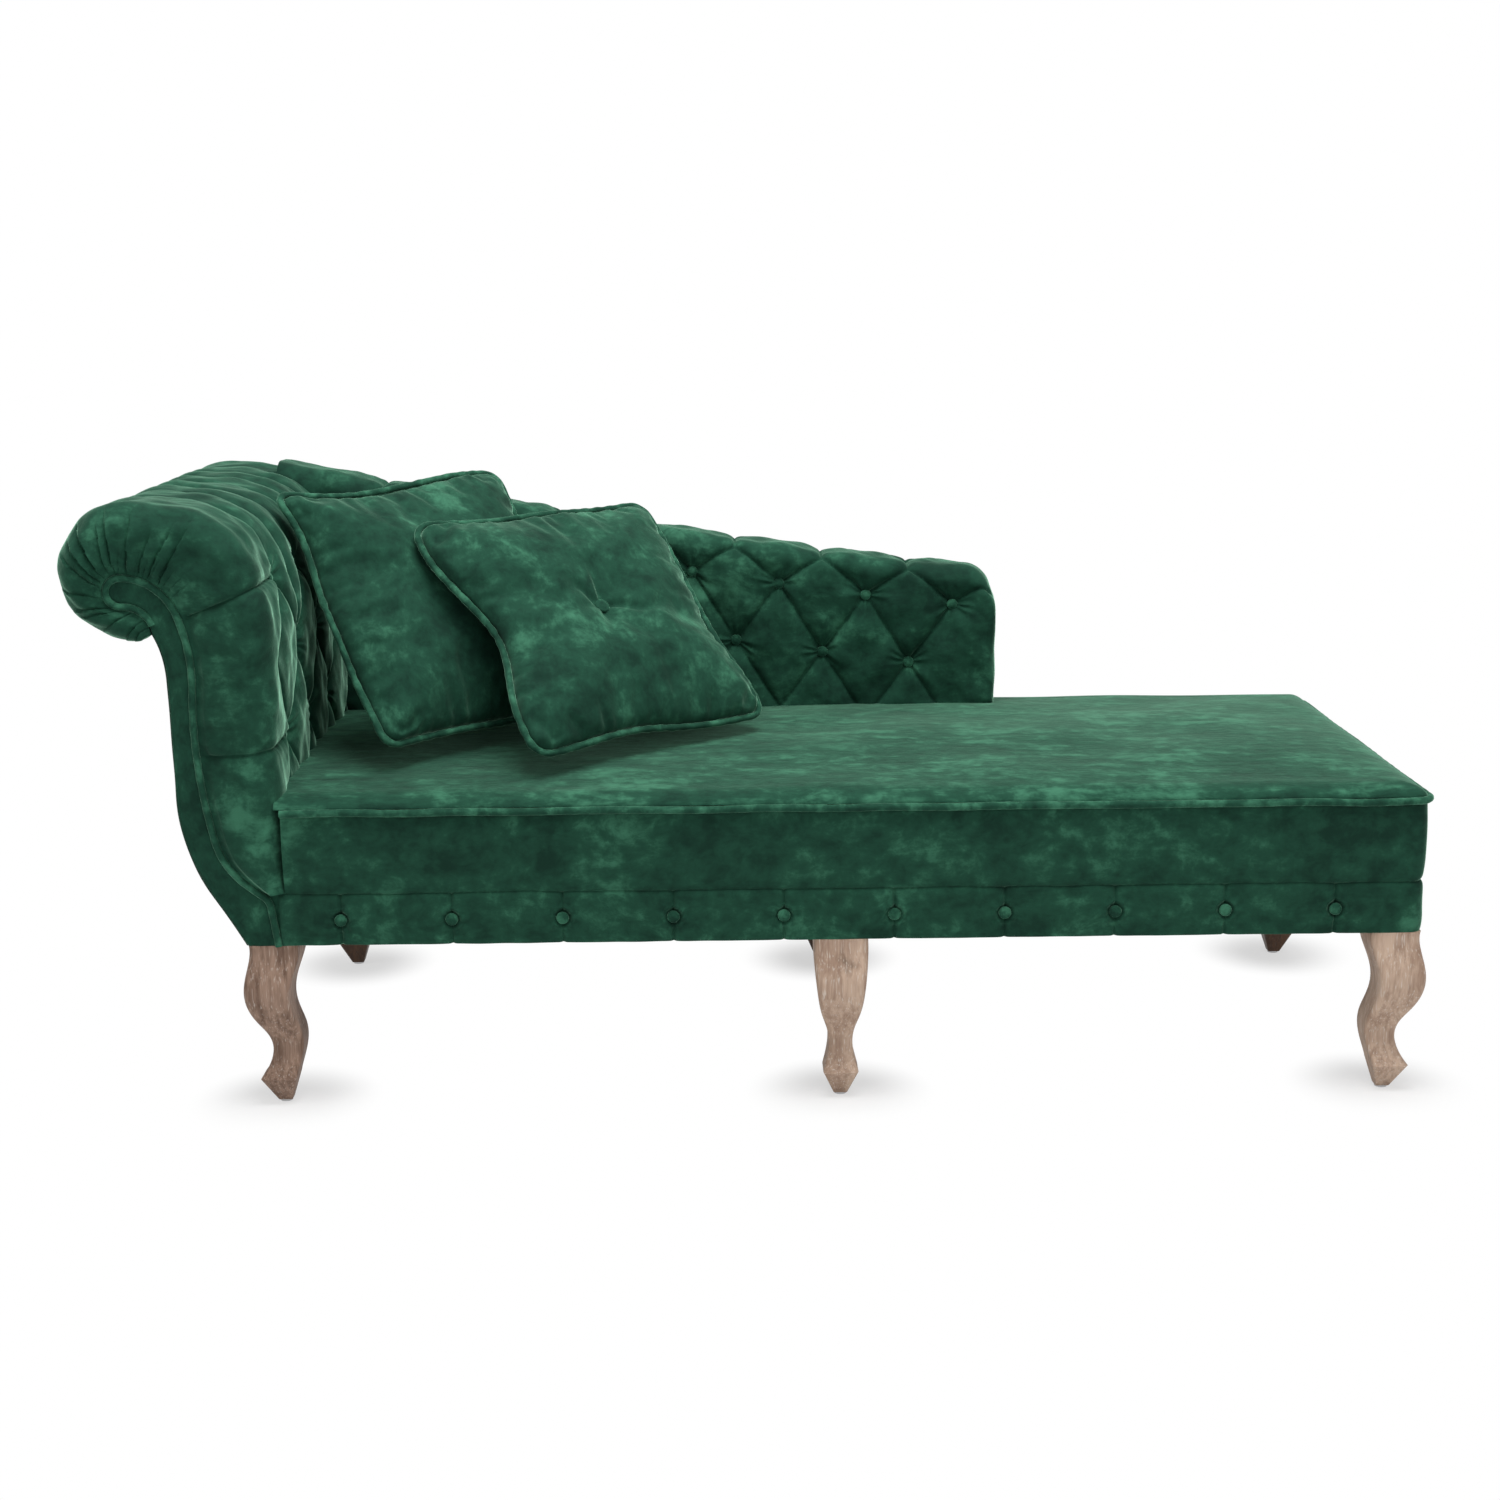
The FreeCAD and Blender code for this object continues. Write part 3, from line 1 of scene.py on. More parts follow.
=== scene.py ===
# %% [markdown]
# ## The frame
# The chaise longue was first built as 53 solid pieces in millimetres. They are loaded here as a
# fixed frame, in metres and in place: +X runs to the foot end, -Y is the open front, +Z is up, and
# the origin is the middle of the floor print. Every soft surface below is drawn over these solids.

# %% Load the frame
import json
import math

import bpy
import numpy as np
from mathutils import Matrix, Vector


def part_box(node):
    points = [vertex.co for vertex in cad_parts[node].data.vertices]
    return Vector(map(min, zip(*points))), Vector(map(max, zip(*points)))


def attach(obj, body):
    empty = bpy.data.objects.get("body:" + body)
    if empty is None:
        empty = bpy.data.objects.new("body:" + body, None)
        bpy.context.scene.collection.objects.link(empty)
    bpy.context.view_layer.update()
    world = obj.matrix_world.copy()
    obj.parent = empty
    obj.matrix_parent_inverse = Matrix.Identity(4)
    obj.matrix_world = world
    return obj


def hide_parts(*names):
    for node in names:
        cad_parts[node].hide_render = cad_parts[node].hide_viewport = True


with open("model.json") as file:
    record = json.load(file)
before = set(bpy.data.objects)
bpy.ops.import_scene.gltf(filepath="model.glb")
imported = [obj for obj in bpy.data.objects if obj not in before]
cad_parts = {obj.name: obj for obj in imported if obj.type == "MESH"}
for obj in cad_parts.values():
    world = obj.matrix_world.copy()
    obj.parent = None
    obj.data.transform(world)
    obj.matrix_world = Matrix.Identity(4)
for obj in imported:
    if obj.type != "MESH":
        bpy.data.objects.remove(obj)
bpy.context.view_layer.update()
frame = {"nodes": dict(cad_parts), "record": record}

# %% [markdown]
# ## Main sizes
# The foot end of the seat is read from the frame. The other lines of the arm, the seat, the band and
# the back are the sizes that the solids were drawn with, so a surface drawn from these names lies on
# the solid that it stands for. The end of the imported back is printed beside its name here.

# %% Read the main sizes
MM = 0.001
FOOT_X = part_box("seat_cover")[1][0]
HALF_DEPTH = 306.5 * MM
BAND_BASE = 219.0 * MM
BAND_TOP = 285.0 * MM
SEAM_Z = 392.0 * MM
ARM_INNER_X = -598.0 * MM
BACK_END_X = 361.0 * MM
BACK_FRONT_Y = 212.0 * MM
packed_back_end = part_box("back_inner_cover")[1][0]
print("seat ends at %.4f m, back ends at %.4f m" % (FOOT_X, packed_back_end))
print("the back is drawn to end at %.4f m" % BACK_END_X)

# %% [markdown]
# ## Surfaces from grids of points
# Tight upholstery is a skin over a form. The handiest way to draw it is a grid of points: one
# direction runs along the piece and the other across it, and a formula says how far each point
# stands out. The same few helpers make every cover: arcs for an outline, even steps along it, a mesh
# from the grid, and the outward direction at each of its points.

# %% Outlines, even steps and meshes
def arcs(points, heading, steps=24):
    """Points along arcs through the corners, each arc tangent to the one before."""
    angle = math.radians(heading)
    way = np.array([math.cos(angle), math.sin(angle)])
    line = [np.array(points[0], float)]
    for start, end in zip(points, points[1:]):
        start = np.array(start, float)
        chord = np.array(end, float) - start
        length = np.linalg.norm(chord)
        along = chord / length
        side = way - along * way.dot(along)
        lean = np.linalg.norm(side)
        shares = np.arange(1, steps + 1) / steps
        if lean < 1e-5:
            line += [start + chord * share for share in shares]
        else:
            turn = math.acos(max(-1.0, min(1.0, way.dot(along))))
            radius = length / (2.0 * math.sin(turn))
            side = side / lean
            centre = start + chord / 2.0 - side * radius * math.cos(turn)
            for share in shares:
                bend = turn * (2.0 * share - 1.0)
                line.append(centre + radius * (side * math.cos(bend) + along * math.sin(bend)))
        way = 2.0 * way.dot(along) * along - way
    return np.array(line)


def lengths(line):
    """Distance from the start at each point of a line."""
    steps = np.linalg.norm(np.diff(line, axis=0), axis=1)
    return np.concatenate([[0.0], np.cumsum(steps)])


def carried(line, values, wanted):
    """Values that belong to the points of a line, read at the wanted distances from its start."""
    along = lengths(line)
    return np.stack([np.interp(wanted, along, column) for column in values.T], axis=-1)


def at_lengths(line, wanted):
    """Points of a line at the wanted distances from its start."""
    return carried(line, line, wanted)


def even(line, count):
    """The same line in even steps."""
    return at_lengths(line, np.linspace(0.0, lengths(line)[-1], count))


def length_at(line, point):
    """Distance along a line to the place nearest to a point."""
    return lengths(line)[np.argmin(np.linalg.norm(line - np.array(point), axis=1))]


def quads(index):
    """The four-cornered faces of a table of point numbers."""
    corners = [index[:-1, :-1], index[1:, :-1], index[1:, 1:], index[:-1, 1:]]
    return np.stack(corners, axis=-1).reshape(-1, 4)


def smooth_piece(name, points, faces):
    """A smooth mesh, put in the scene."""
    mesh = bpy.data.meshes.new(name)
    mesh.from_pydata(points.reshape(-1, 3).tolist(), [], faces.tolist())
    mesh.shade_smooth()
    piece = bpy.data.objects.new(name, mesh)
    bpy.context.scene.collection.objects.link(piece)
    return piece


def surface(name, grid, ring=False):
    """A smooth mesh from rows and columns of points. A ring joins the last column to the first."""
    rows, columns = grid.shape[:2]
    index = np.arange(rows * columns).reshape(rows, columns)
    if ring:
        index = np.column_stack([index, index[:, 0]])
    return smooth_piece(name, grid, quads(index))


def outward(grid):
    """Direction square to a grid at each point."""
    across = np.cross(np.gradient(grid, axis=0), np.gradient(grid, axis=1))
    return across / np.maximum(np.linalg.norm(across, axis=-1, keepdims=True), 1e-12)


def drift(points, size, seed):
    """Smooth unevenness between about -1 and 1 with bumps of one size, the same on every run."""
    dice = np.random.default_rng(seed)
    total = np.zeros(points.shape[:-1])
    for _ in range(7):
        way = dice.normal(size=points.shape[-1])
        way *= 2.0 * math.pi / (size * np.linalg.norm(way)) * dice.uniform(0.6, 1.4)
        total += np.sin(points @ way + dice.uniform(0.0, 2.0 * math.pi))
    return total / 3.5


# %% [markdown]
# ## Pleats and tufts
# A button pulls its cover down through the padding. The spare cloth folds into pleats that run from
# button to button, and the padding swells into diamonds between them. On the flat plan of a cover
# this is only distance: how far a point lies from the nearest pleat, and from the nearest button.
# A sharp fall close to the pleat gives the crease, a slow one gives the swell of the diamond.

# %% Distances on the plan of a cover
def to_lines(plan, lines):
    """Distance from each point of the plan to the nearest of the lines."""
    nearest = np.full(plan.shape[:-1], 1.0)
    for start, end in lines:
        start = np.array(start, float)
        run = np.array(end, float) - start
        share = np.clip((plan - start) @ run / run.dot(run), 0.0, 1.0)
        away = np.linalg.norm(plan - start - share[..., None] * run, axis=-1)
        nearest = np.minimum(nearest, away)
    return nearest


def to_spots(plan, spots):
    """Distance from each point of the plan to the nearest spot, and the angle round that spot."""
    nearest = np.full(plan.shape[:-1], 1.0)
    angle = np.zeros(plan.shape[:-1])
    for number, spot in enumerate(spots):
        offset = plan - np.array(spot, float)
        away = np.linalg.norm(offset, axis=-1)
        closer = away < nearest
        nearest = np.where(closer, away, nearest)
        angle = np.where(closer, np.arctan2(offset[..., 1], offset[..., 0]) + 1.7 * number, angle)
    return nearest, angle


PAD_SWELL = 3.5 * MM
CREASE_DEEP, CREASE_WIDE = 4.2 * MM, 2.6 * MM
HOLLOW_DEEP, HOLLOW_WIDE = 7.5 * MM, 16.0 * MM
PULL_DEEP, PULL_WIDE = 10.0 * MM, 20.0 * MM
GATHER_RISE, GATHER_AT, GATHER_WIDE = 1.5 * MM, 15.0 * MM, 16.0 * MM


def tufted(plan, buttons, pleats, seed):
    """How far a deep-buttoned cover stands out (negative is inwards) over its plan."""
    from_pleat = to_lines(plan, pleats)
    from_button, angle = to_spots(plan, buttons)
    crease = CREASE_DEEP * np.exp(-from_pleat / CREASE_WIDE)
    hollow = HOLLOW_DEEP * np.exp(-from_pleat / HOLLOW_WIDE)
    pull = PULL_DEEP * np.exp(-(from_button / PULL_WIDE) ** 1.3)
    near = np.exp(-(from_button - GATHER_AT) ** 2 / GATHER_WIDE ** 2)
    gathers = GATHER_RISE * near * np.sin(9.0 * angle + 2.0 * np.sin(3.0 * angle))
    soft = 1.6 * MM * drift(plan, 60.0 * MM, seed) + 0.3 * MM * drift(plan, 24.0 * MM, seed + 1)
    return PAD_SWELL + soft + gathers - crease - hollow - pull

# %% [markdown]
# ## Materials written as sums
# A shader is a sum of masks and colours, so it reads best as one. A small class stands for a socket,
# and its plus, minus and times add the Math nodes. Every other node comes from one method that takes
# the node's type, its settings, and what goes into its sockets.

# %% A socket that can be added and multiplied
class Wire:
    """One output of a material's nodes. Sums and products of wires add Math nodes."""

    def __init__(self, paint, socket):
        self.paint = paint
        self.socket = socket

    def reckon(self, operation, first, second):
        made = self.paint.node("ShaderNodeMath", {"operation": operation}, {0: first, 1: second})
        return made.wire("Value")

    def __add__(self, other):
        return self.reckon("ADD", self, other)

    def __radd__(self, other):
        return self.reckon("ADD", other, self)

    def __sub__(self, other):
        return self.reckon("SUBTRACT", self, other)

    def __rsub__(self, other):
        return self.reckon("SUBTRACT", other, self)

    def __mul__(self, other):
        return self.reckon("MULTIPLY", self, other)

    def __rmul__(self, other):
        return self.reckon("MULTIPLY", other, self)

    def __truediv__(self, other):
        return self.reckon("DIVIDE", self, other)

    def __pow__(self, other):
        return self.reckon("POWER", self, other)


class Made:
    """A node that was just made, to take its outputs from."""

    def __init__(self, paint, node):
        self.paint = paint
        self.node = node

    def wire(self, output):
        return Wire(self.paint, self.node.outputs[output])


class Paint:
    """The nodes of one material or of the world."""

    def __init__(self, owner):
        owner.use_nodes = True
        self.owner = owner
        self.tree = owner.node_tree
        self.tree.nodes.clear()

    def node(self, kind, settings=None, sockets=None):
        """Adds a node: its settings first, then the values or links of its sockets."""
        node = self.tree.nodes.new(kind)
        for key, value in (settings or {}).items():
            setattr(node, key, value)
        for key, value in (sockets or {}).items():
            socket = node.inputs[key]
            if isinstance(value, Wire):
                self.tree.links.new(value.socket, socket)
            elif isinstance(value, tuple) and len(value) == 3 and len(socket.default_value) == 4:
                socket.default_value = (*value, 1.0)
            else:
                socket.default_value = value
        return Made(self, node)

    def place(self, stretch=(1.0, 1.0, 1.0)):
        """Where on the piece a point is, in metres, stretched along each axis."""
        here = self.node("ShaderNodeTexCoord").wire("Object")
        settings = {"operation": "MULTIPLY"}
        return self.node("ShaderNodeVectorMath", settings, {0: here, 1: stretch}).wire("Vector")

    def noise(self, stretch, scale, detail=3.0, rough=0.5, bend=0.0):
        """Cloudy noise from 0 to 1."""
        sockets = {"Vector": self.place(stretch), "Scale": scale, "Detail": detail,
                   "Roughness": rough, "Distortion": bend}
        return self.node("ShaderNodeTexNoise", {"noise_dimensions": "3D"}, sockets).wire("Fac")

    def blend(self, share, first, second):
        """One colour into another."""
        settings = {"data_type": "RGBA"}
        return self.node("ShaderNodeMix", settings, {0: share, 6: first, 7: second}).wire(2)

    def between(self, value, low, high):
        """A soft step: 0 below low, 1 above high."""
        settings = {"interpolation_type": "SMOOTHSTEP"}
        sockets = {"Value": value, "From Min": low, "From Max": high}
        return self.node("ShaderNodeMapRange", settings, sockets).wire("Result")

    def bump(self, height, distance, strength=1.0):
        """A normal that leans with a height given in shares of the distance."""
        sockets = {"Height": height, "Distance": distance, "Strength": strength}
        return self.node("ShaderNodeBump", {}, sockets).wire("Normal")

    def finish(self, sockets):
        """Ends the material in one shader with these values and links."""
        shader = self.node("ShaderNodeBsdfPrincipled", {}, sockets).wire("BSDF")
        self.node("ShaderNodeOutputMaterial", {}, {"Surface": shader})
        return self.owner


# %% [markdown]
# ## Crushed velvet
# Velvet is a short dense pile. Where the pile leans towards the lamp it shines, and where it leans
# away it is almost black, so a velvet seat is never one green: clouds from sitting, streaks from a
# hand, and light rims where a fold turns. The clouds and streaks are noise in the colour. The rims
# are the shader's own sheen, which is strongest where the surface turns away. A fine bump breaks
# up the highlight as the pile does.

# %% Velvet
VELVET_DARK = (0.0050, 0.027, 0.0170)
VELVET_MID = (0.0115, 0.058, 0.0345)
VELVET_LIGHT = (0.0400, 0.158, 0.0930)
VELVET_SHEEN = (0.46, 0.90, 0.64)
EVEN = (1.0, 1.0, 1.0)
FOLD_SCALE = 48.0
PILE_SCALE = 1000.0


def velvet(name, streak, lift=0.0, cloud_size=7.0, streak_size=26.0):
    """Velvet whose brushed streaks run along the axis with the smallest number in streak."""
    paint = Paint(bpy.data.materials.new(name))
    clouds = paint.noise(EVEN, cloud_size, detail=6.0, rough=0.60, bend=0.3)
    brushed = paint.noise(streak, streak_size, detail=5.0, rough=0.70, bend=0.35)
    small = paint.noise(EVEN, FOLD_SCALE, detail=4.0, rough=0.60, bend=0.3)
    pile = paint.noise(EVEN, PILE_SCALE, detail=1.0)
    # A positive lift paints light into the cloth and a negative lift paints shade; the copies below are
    # one and the same velvet.
    nap = clouds * 0.36 + brushed * 0.38 + small * 0.26 + lift
    shade = paint.between(nap, 0.39, 0.54)
    shine = paint.between(nap, 0.51, 0.65)
    colour = paint.blend(shade, VELVET_DARK, VELVET_MID)
    colour = paint.blend(shine, colour, VELVET_LIGHT)
    colour = paint.blend(pile * 0.24, colour, VELVET_DARK)
    height = clouds * 0.5 + brushed * 0.4 + small * 0.35 + pile * 0.05
    return paint.finish({
        "Base Color": colour,
        "Roughness": 0.90 - shine * 0.15,
        "Specular IOR Level": 0.12,
        "Sheen Weight": 0.80,
        "Sheen Roughness": 0.30,
        "Sheen Tint": VELVET_SHEEN,
        "Normal": paint.bump(height, 6.0 * MM, 0.40),
    })


# The seat's velvet is lifted lighter than the upright velvet: painted light, as the level seat faces
# the lamp above.
VELVET_LEVEL_LIT = velvet("velvet brushed along the seat, painted lit from above", (0.30, 1.0, 1.0), lift=0.035,
                      streak_size=38.0)
VELVET_UPRIGHT = velvet("velvet on upright faces", (0.45, 0.45, 0.8))
# The cushions' velvet is lifted a little lighter: painted light, as their faces lean up towards the
# lamp.
VELVET_CUSHION_LIT = velvet("velvet of the cushions, painted a little lit", (0.7, 0.7, 0.45), lift=0.01, cloud_size=9.0)
# Piping and buttons take a lighter copy of the velvet: a painted highlight, as their round ridges catch
# the light.
VELVET_TRIM_HIGHLIT = velvet("velvet of piping and buttons, painted highlight", EVEN, lift=0.04, cloud_size=24.0)

# %% [markdown]
# ## Put a piece in the place of its solids
# A real upholsterer covers a frame; here a drawn cover takes the place of the plain solid under it.
# One helper gives the finish, names the solids that the piece stands for, and says which body it
# moves with, so no cover can be left behind when a cushion is lifted.

# %% Dress a piece
def dress(piece, material, nodes, body="chaise"):
    """Gives a piece its finish, puts it in place of its solids, and lets it ride on its body."""
    piece.data.materials.append(material)
    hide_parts(*nodes)
    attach(piece, body)
    print(piece.name, "stands for", ", ".join(nodes))
    return piece


# %% [markdown]
# ## The seat
# The seat is one tight cover over foam on springs: a low crown, a shoulder that rolls down to the
# piped seam, and a round fall at the foot end. It is drawn as a height over the plan, with the
# corner squares of the plan pressed into round corners.

# %% Seat cover
PIPING_PROUD = 3.0 * MM
CORNER = 18.0 * MM
SHOULDER_WIDE = 44.0 * MM
SEAM_LIFT = 4.0 * MM
SHOULDER_RISE = 15.0 * MM
CROWN_RISE = 10.0 * MM


def rounded(plan, x_end, y_end, radius):
    """Presses the square corners of a plan at the foot end into round ones."""
    centre = np.stack([np.full(plan.shape[:-1], x_end - radius),
                       np.sign(plan[..., 1]) * (y_end - radius)], axis=-1)
    into = (plan - centre) * np.stack([np.ones(plan.shape[:-1]), np.sign(plan[..., 1])], axis=-1)
    square = into.max(axis=-1)
    inside = (into.min(axis=-1) > 0.0)
    reach = np.linalg.norm(into, axis=-1)
    scale = np.where(inside, square / np.maximum(reach, 1e-9), 1.0)
    return centre + (plan - centre) * scale[..., None]


def from_edge(plan):
    """Distance from the front, rear and foot-end edges of the seat's plan."""
    sides = HALF_DEPTH - np.abs(plan[..., 1])
    return np.minimum(sides, FOOT_X - plan[..., 0])


def seat_height(plan):
    """Height of the seat over its plan."""
    away = np.clip(from_edge(plan) / SHOULDER_WIDE, 0.0, 1.0)
    shoulder = SHOULDER_RISE * (1.0 - (1.0 - away) ** 2.3) ** 0.62
    across = np.clip(np.abs(plan[..., 1]) / (HALF_DEPTH - SHOULDER_WIDE), 0.0, 1.0)
    near_end = np.clip((FOOT_X - plan[..., 0]) / (160.0 * MM), 0.0, 1.0)
    crown = CROWN_RISE * (1.0 - across ** 2) * near_end * (2.0 - near_end)
    soft = 1.3 * MM * drift(plan, 210.0 * MM, 3) * away
    return SEAM_Z + SEAM_LIFT + shoulder + crown + soft


def tight_steps(low, high, fine, count):
    """Positions from low to high, closer together at both ends."""
    edge = low + (1.0 - np.cos(np.linspace(0.0, math.pi / 2.0, 12)))[:-1] * fine
    middle = np.linspace(low + fine, high - fine, count)
    return np.concatenate([edge, middle, (low + high - edge)[::-1]])


seat_xs = np.concatenate([np.linspace(ARM_INNER_X - 8.0 * MM, FOOT_X - SHOULDER_WIDE, 220),
                          FOOT_X - SHOULDER_WIDE * np.linspace(0.97, 0.0, 34) ** 1.6])
seat_ys = tight_steps(-HALF_DEPTH, HALF_DEPTH, SHOULDER_WIDE, 70)
plan = np.stack(np.meshgrid(seat_xs, seat_ys, indexing="ij"), axis=-1)
seat_plan = rounded(plan, FOOT_X, HALF_DEPTH, CORNER)
seat_grid = np.concatenate([seat_plan, seat_height(plan)[..., None]], axis=-1)
seat_cover = dress(surface("seat_cover_velvet", seat_grid), VELVET_LEVEL_LIT, ["seat_cover", "seat_foam"])

# %% [markdown]
# ## Round the seat: boxing, piping and the buttoned band
# The boxing, the piped seam and the band under it run round the front, the foot end and the rear.
# One path serves all three: a distance along it gives a place and the outward direction there, so
# each strip is only a profile that stands in or out of that path.

# %% The path round the seat
BAND_START_X = -628.0 * MM
BAND_HIDDEN = 24.0 * MM
BAND_HIDDEN_DEEP = 3.4 * MM
BAND_TURNED = 6.0 * MM
BAND_BULGE = 2.5 * MM


def around(start_x, end_x, out):
    """Points round front, foot end and rear, standing out by a given distance."""
    corner = CORNER + out
    bends = np.linspace(0.0, math.pi / 2.0, 10)
    front = np.column_stack([np.linspace(start_x, FOOT_X - CORNER, 480),
                             np.full(480, -HALF_DEPTH - out)])
    first = np.column_stack([FOOT_X - CORNER + corner * np.sin(bends),
                             -HALF_DEPTH + CORNER - corner * np.cos(bends)])
    foot = np.column_stack([np.full(190, FOOT_X + out),
                            np.linspace(CORNER - HALF_DEPTH, HALF_DEPTH - CORNER, 190)])
    second = first[::-1] * np.array([1.0, -1.0])
    rear = np.column_stack([np.linspace(FOOT_X - CORNER, end_x, 160), np.full(160, HALF_DEPTH + out)])
    return np.concatenate([front, first[1:-1], foot, second[1:-1], rear])


def strip(path, places, heights, out):
    """A strip round the seat at distances along its path. Out gives how far each point stands out."""
    base = path(0.0)
    spot = at_lengths(base, places)
    way = carried(base, path(1.0) - base, places)
    flat = np.stack(np.meshgrid(places, heights, indexing="ij"), axis=-1)
    grid = np.empty(flat.shape[:-1] + (3,))
    grid[..., :2] = spot[:, None, :] + way[:, None, :] * out(flat)[..., None]
    grid[..., 2] = flat[..., 1]
    return grid


def boxing_path(out):
    return around(ARM_INNER_X + 0.3 * MM, BACK_END_X + 2.0 * MM, out)


def band_path(out):
    return around(BAND_START_X, BACK_END_X, out)

# %% [markdown]
# ## Boxing
# The boxing is the upright strip between the seat's seam and the band. Stretched cloth is never
# flat, so a profile swells it slightly, puckers it under the seam and tucks it in behind the band.

# %% Boxing
def boxing_out(flat):
    share = (flat[..., 1] - BAND_TOP) / (SEAM_Z - BAND_TOP)
    full = 2.6 * MM * np.sin(math.pi * np.clip(share, 0.0, 1.0)) ** 0.7
    near_seam = np.clip(share * 1.6 - 0.6, 0.0, 1.0) ** 2
    puckers = 0.9 * MM * near_seam * drift(flat * np.array([1.0, 0.25]), 16.0 * MM, 8)
    tuck = 5.0 * MM * np.exp(-(flat[..., 1] - BAND_TOP + 1.0 * MM) / (3.2 * MM))
    return full + puckers + 1.0 * MM * drift(flat, 110.0 * MM, 9) - 0.6 * MM - tuck


boxing_heights = np.linspace(BAND_TOP - 4.0 * MM, SEAM_Z + 1.0 * MM, 44)
boxing_grid = strip(boxing_path, lengths(boxing_path(0.0)), boxing_heights, boxing_out)
dress(surface("seat_boxing_velvet", boxing_grid), VELVET_UPRIGHT, ["seat_boxing"])

# %% [markdown]
# ## Piping
# Piping is a cord sewn into a folded strip. A bevelled curve would be perfectly even, so the tube
# is drawn ring by ring, and its radius wanders a little as the folded velvet does.

# %% Piping: a cord in a folded strip of velvet
def cord(name, line, radius, sides=14, closed=False, unevenness=0.25 * MM, seed=1):
    """A round cord along a line, with the slight lumps of its hand-sewn cover."""
    line = np.array(line)
    count = len(line)
    if closed:
        tangent = np.roll(line, -1, axis=0) - np.roll(line, 1, axis=0)
    else:
        tangent = np.gradient(line, axis=0)
    tangent /= np.linalg.norm(tangent, axis=1, keepdims=True)
    side = np.cross(tangent[0], [0.3, 0.2, 0.93])
    sides_at = []
    for way in tangent:
        side = side - way * side.dot(way)
        side = side / np.linalg.norm(side)
        sides_at.append(side)
    first = np.array(sides_at)
    second = np.cross(tangent, first)
    turns = np.linspace(0.0, 2.0 * math.pi, sides, endpoint=False)
    lumps = radius + unevenness * drift(np.column_stack([lengths(line), np.zeros(count)]),
                                        22.0 * MM, seed)
    cos, sin = np.cos(turns)[None, :, None], np.sin(turns)[None, :, None]
    ring = first[:, None, :] * cos + second[:, None, :] * sin
    grid = line[:, None, :] + ring * lumps[:, None, None]
    if closed:
        grid = np.concatenate([grid, grid[:1]], axis=0)
    return surface(name, grid, ring=True)


PIPING_RADIUS = 5.0 * MM
seam_line = around(ARM_INNER_X + 0.3 * MM, BACK_END_X + 0.3 * MM, PIPING_PROUD)
seam_line = np.column_stack([seam_line, np.full(len(seam_line), SEAM_Z)])
seam_line[:, 2] += 0.8 * MM * drift(seam_line[:, :2], 160.0 * MM, 12)
dress(cord("seat_piping_velvet", seam_line, PIPING_RADIUS - 0.2 * MM), VELVET_TRIM_HIGHLIT,
      ["seat_piping"])

# %% [markdown]
# The band hides the timber rails. Small covered buttons hold it, each in a tiny dimple with one
# stitched fold above and one below.

# %% Lower band and its buttons
BAND_BUTTON_FIRST = 99.3 * MM
BAND_BUTTON_PITCH = 139.7 * MM
FRONT_BUTTONS = 10
END_BUTTONS = 4
BAND_MIDDLE = (BAND_BASE + BAND_TOP) / 2.0

front_run = FOOT_X - CORNER - BAND_START_X
corner_run = CORNER * math.pi / 2.0
band_spots = [BAND_BUTTON_FIRST + number * BAND_BUTTON_PITCH for number in range(FRONT_BUTTONS)]
foot_middle = front_run + corner_run + HALF_DEPTH - CORNER
band_spots += [foot_middle + (number - (END_BUTTONS - 1) / 2.0) * BAND_BUTTON_PITCH
               for number in range(END_BUTTONS)]
print("band buttons at", [round(spot, 3) for spot in band_spots])


def band_out(flat):
    share = np.clip((flat[..., 1] - BAND_BASE) / (BAND_TOP - BAND_BASE), 0.0, 1.0)
    full = BAND_BULGE * np.sin(math.pi * share) ** 0.6
    spots = [(spot, BAND_MIDDLE) for spot in band_spots]
    from_button, angle = to_spots(flat, spots)
    folds = to_lines(flat, [((spot, BAND_BASE), (spot, BAND_TOP)) for spot in band_spots])
    crease = 3.4 * MM * np.exp(-(folds / (2.4 * MM)) ** 1.5) + 1.8 * MM * np.exp(-folds / (12.0 * MM))
    pull = 4.2 * MM * np.exp(-(from_button / (11.0 * MM)) ** 4)
    ring = 2.0 * MM * np.exp(-((from_button - 13.0 * MM) / (2.4 * MM)) ** 2)
    gathers = 1.0 * MM * np.exp(-((from_button - 16.0 * MM) / (7.0 * MM)) ** 2) * np.sin(8.0 * angle)
    rise = full - crease - pull + ring + gathers + 0.8 * MM * drift(flat, 60.0 * MM, 21)
    top_edge = 2.5 * MM * np.exp(-(BAND_TOP - flat[..., 1]) / (2.5 * MM))
    return np.where(flat[..., 0] < BAND_HIDDEN, -BAND_HIDDEN_DEEP, rise - top_edge)


band_heights = np.linspace(BAND_BASE, BAND_TOP + 1.0 * MM, 46)


def finer(grid_line, spots, reach, count):
    """Adds steps to a line of places near each spot."""
    extra = [np.linspace(spot - reach, spot + reach, count) for spot in spots]
    return np.unique(np.round(np.concatenate([grid_line] + extra), 6))


places = lengths(band_path(0.0))
places = finer(places, band_spots, 20.0 * MM, 33)
places = places[(places >= 0.0) & (places <= lengths(band_path(0.0))[-1])]
band_grid = strip(band_path, places, band_heights, band_out)
turned_under, turned_in = [
    strip(band_path, places, np.array([height]), lambda flat: np.full(flat.shape[:-1], -BAND_TURNED))
    for height in (BAND_BASE + 0.8 * MM, BAND_TOP + 10.0 * MM)]
band_grid = np.concatenate([turned_under, band_grid, turned_in], axis=1)
dress(surface("lower_band_velvet", band_grid), VELVET_UPRIGHT, ["lower_band", "rail_wadding"])

# %% [markdown]
# ## Covered buttons
# A covered button is a metal dome with a disc of velvet gathered behind it. Rings of points give
# the dome and the shallow groove where the cloth is pulled tight.

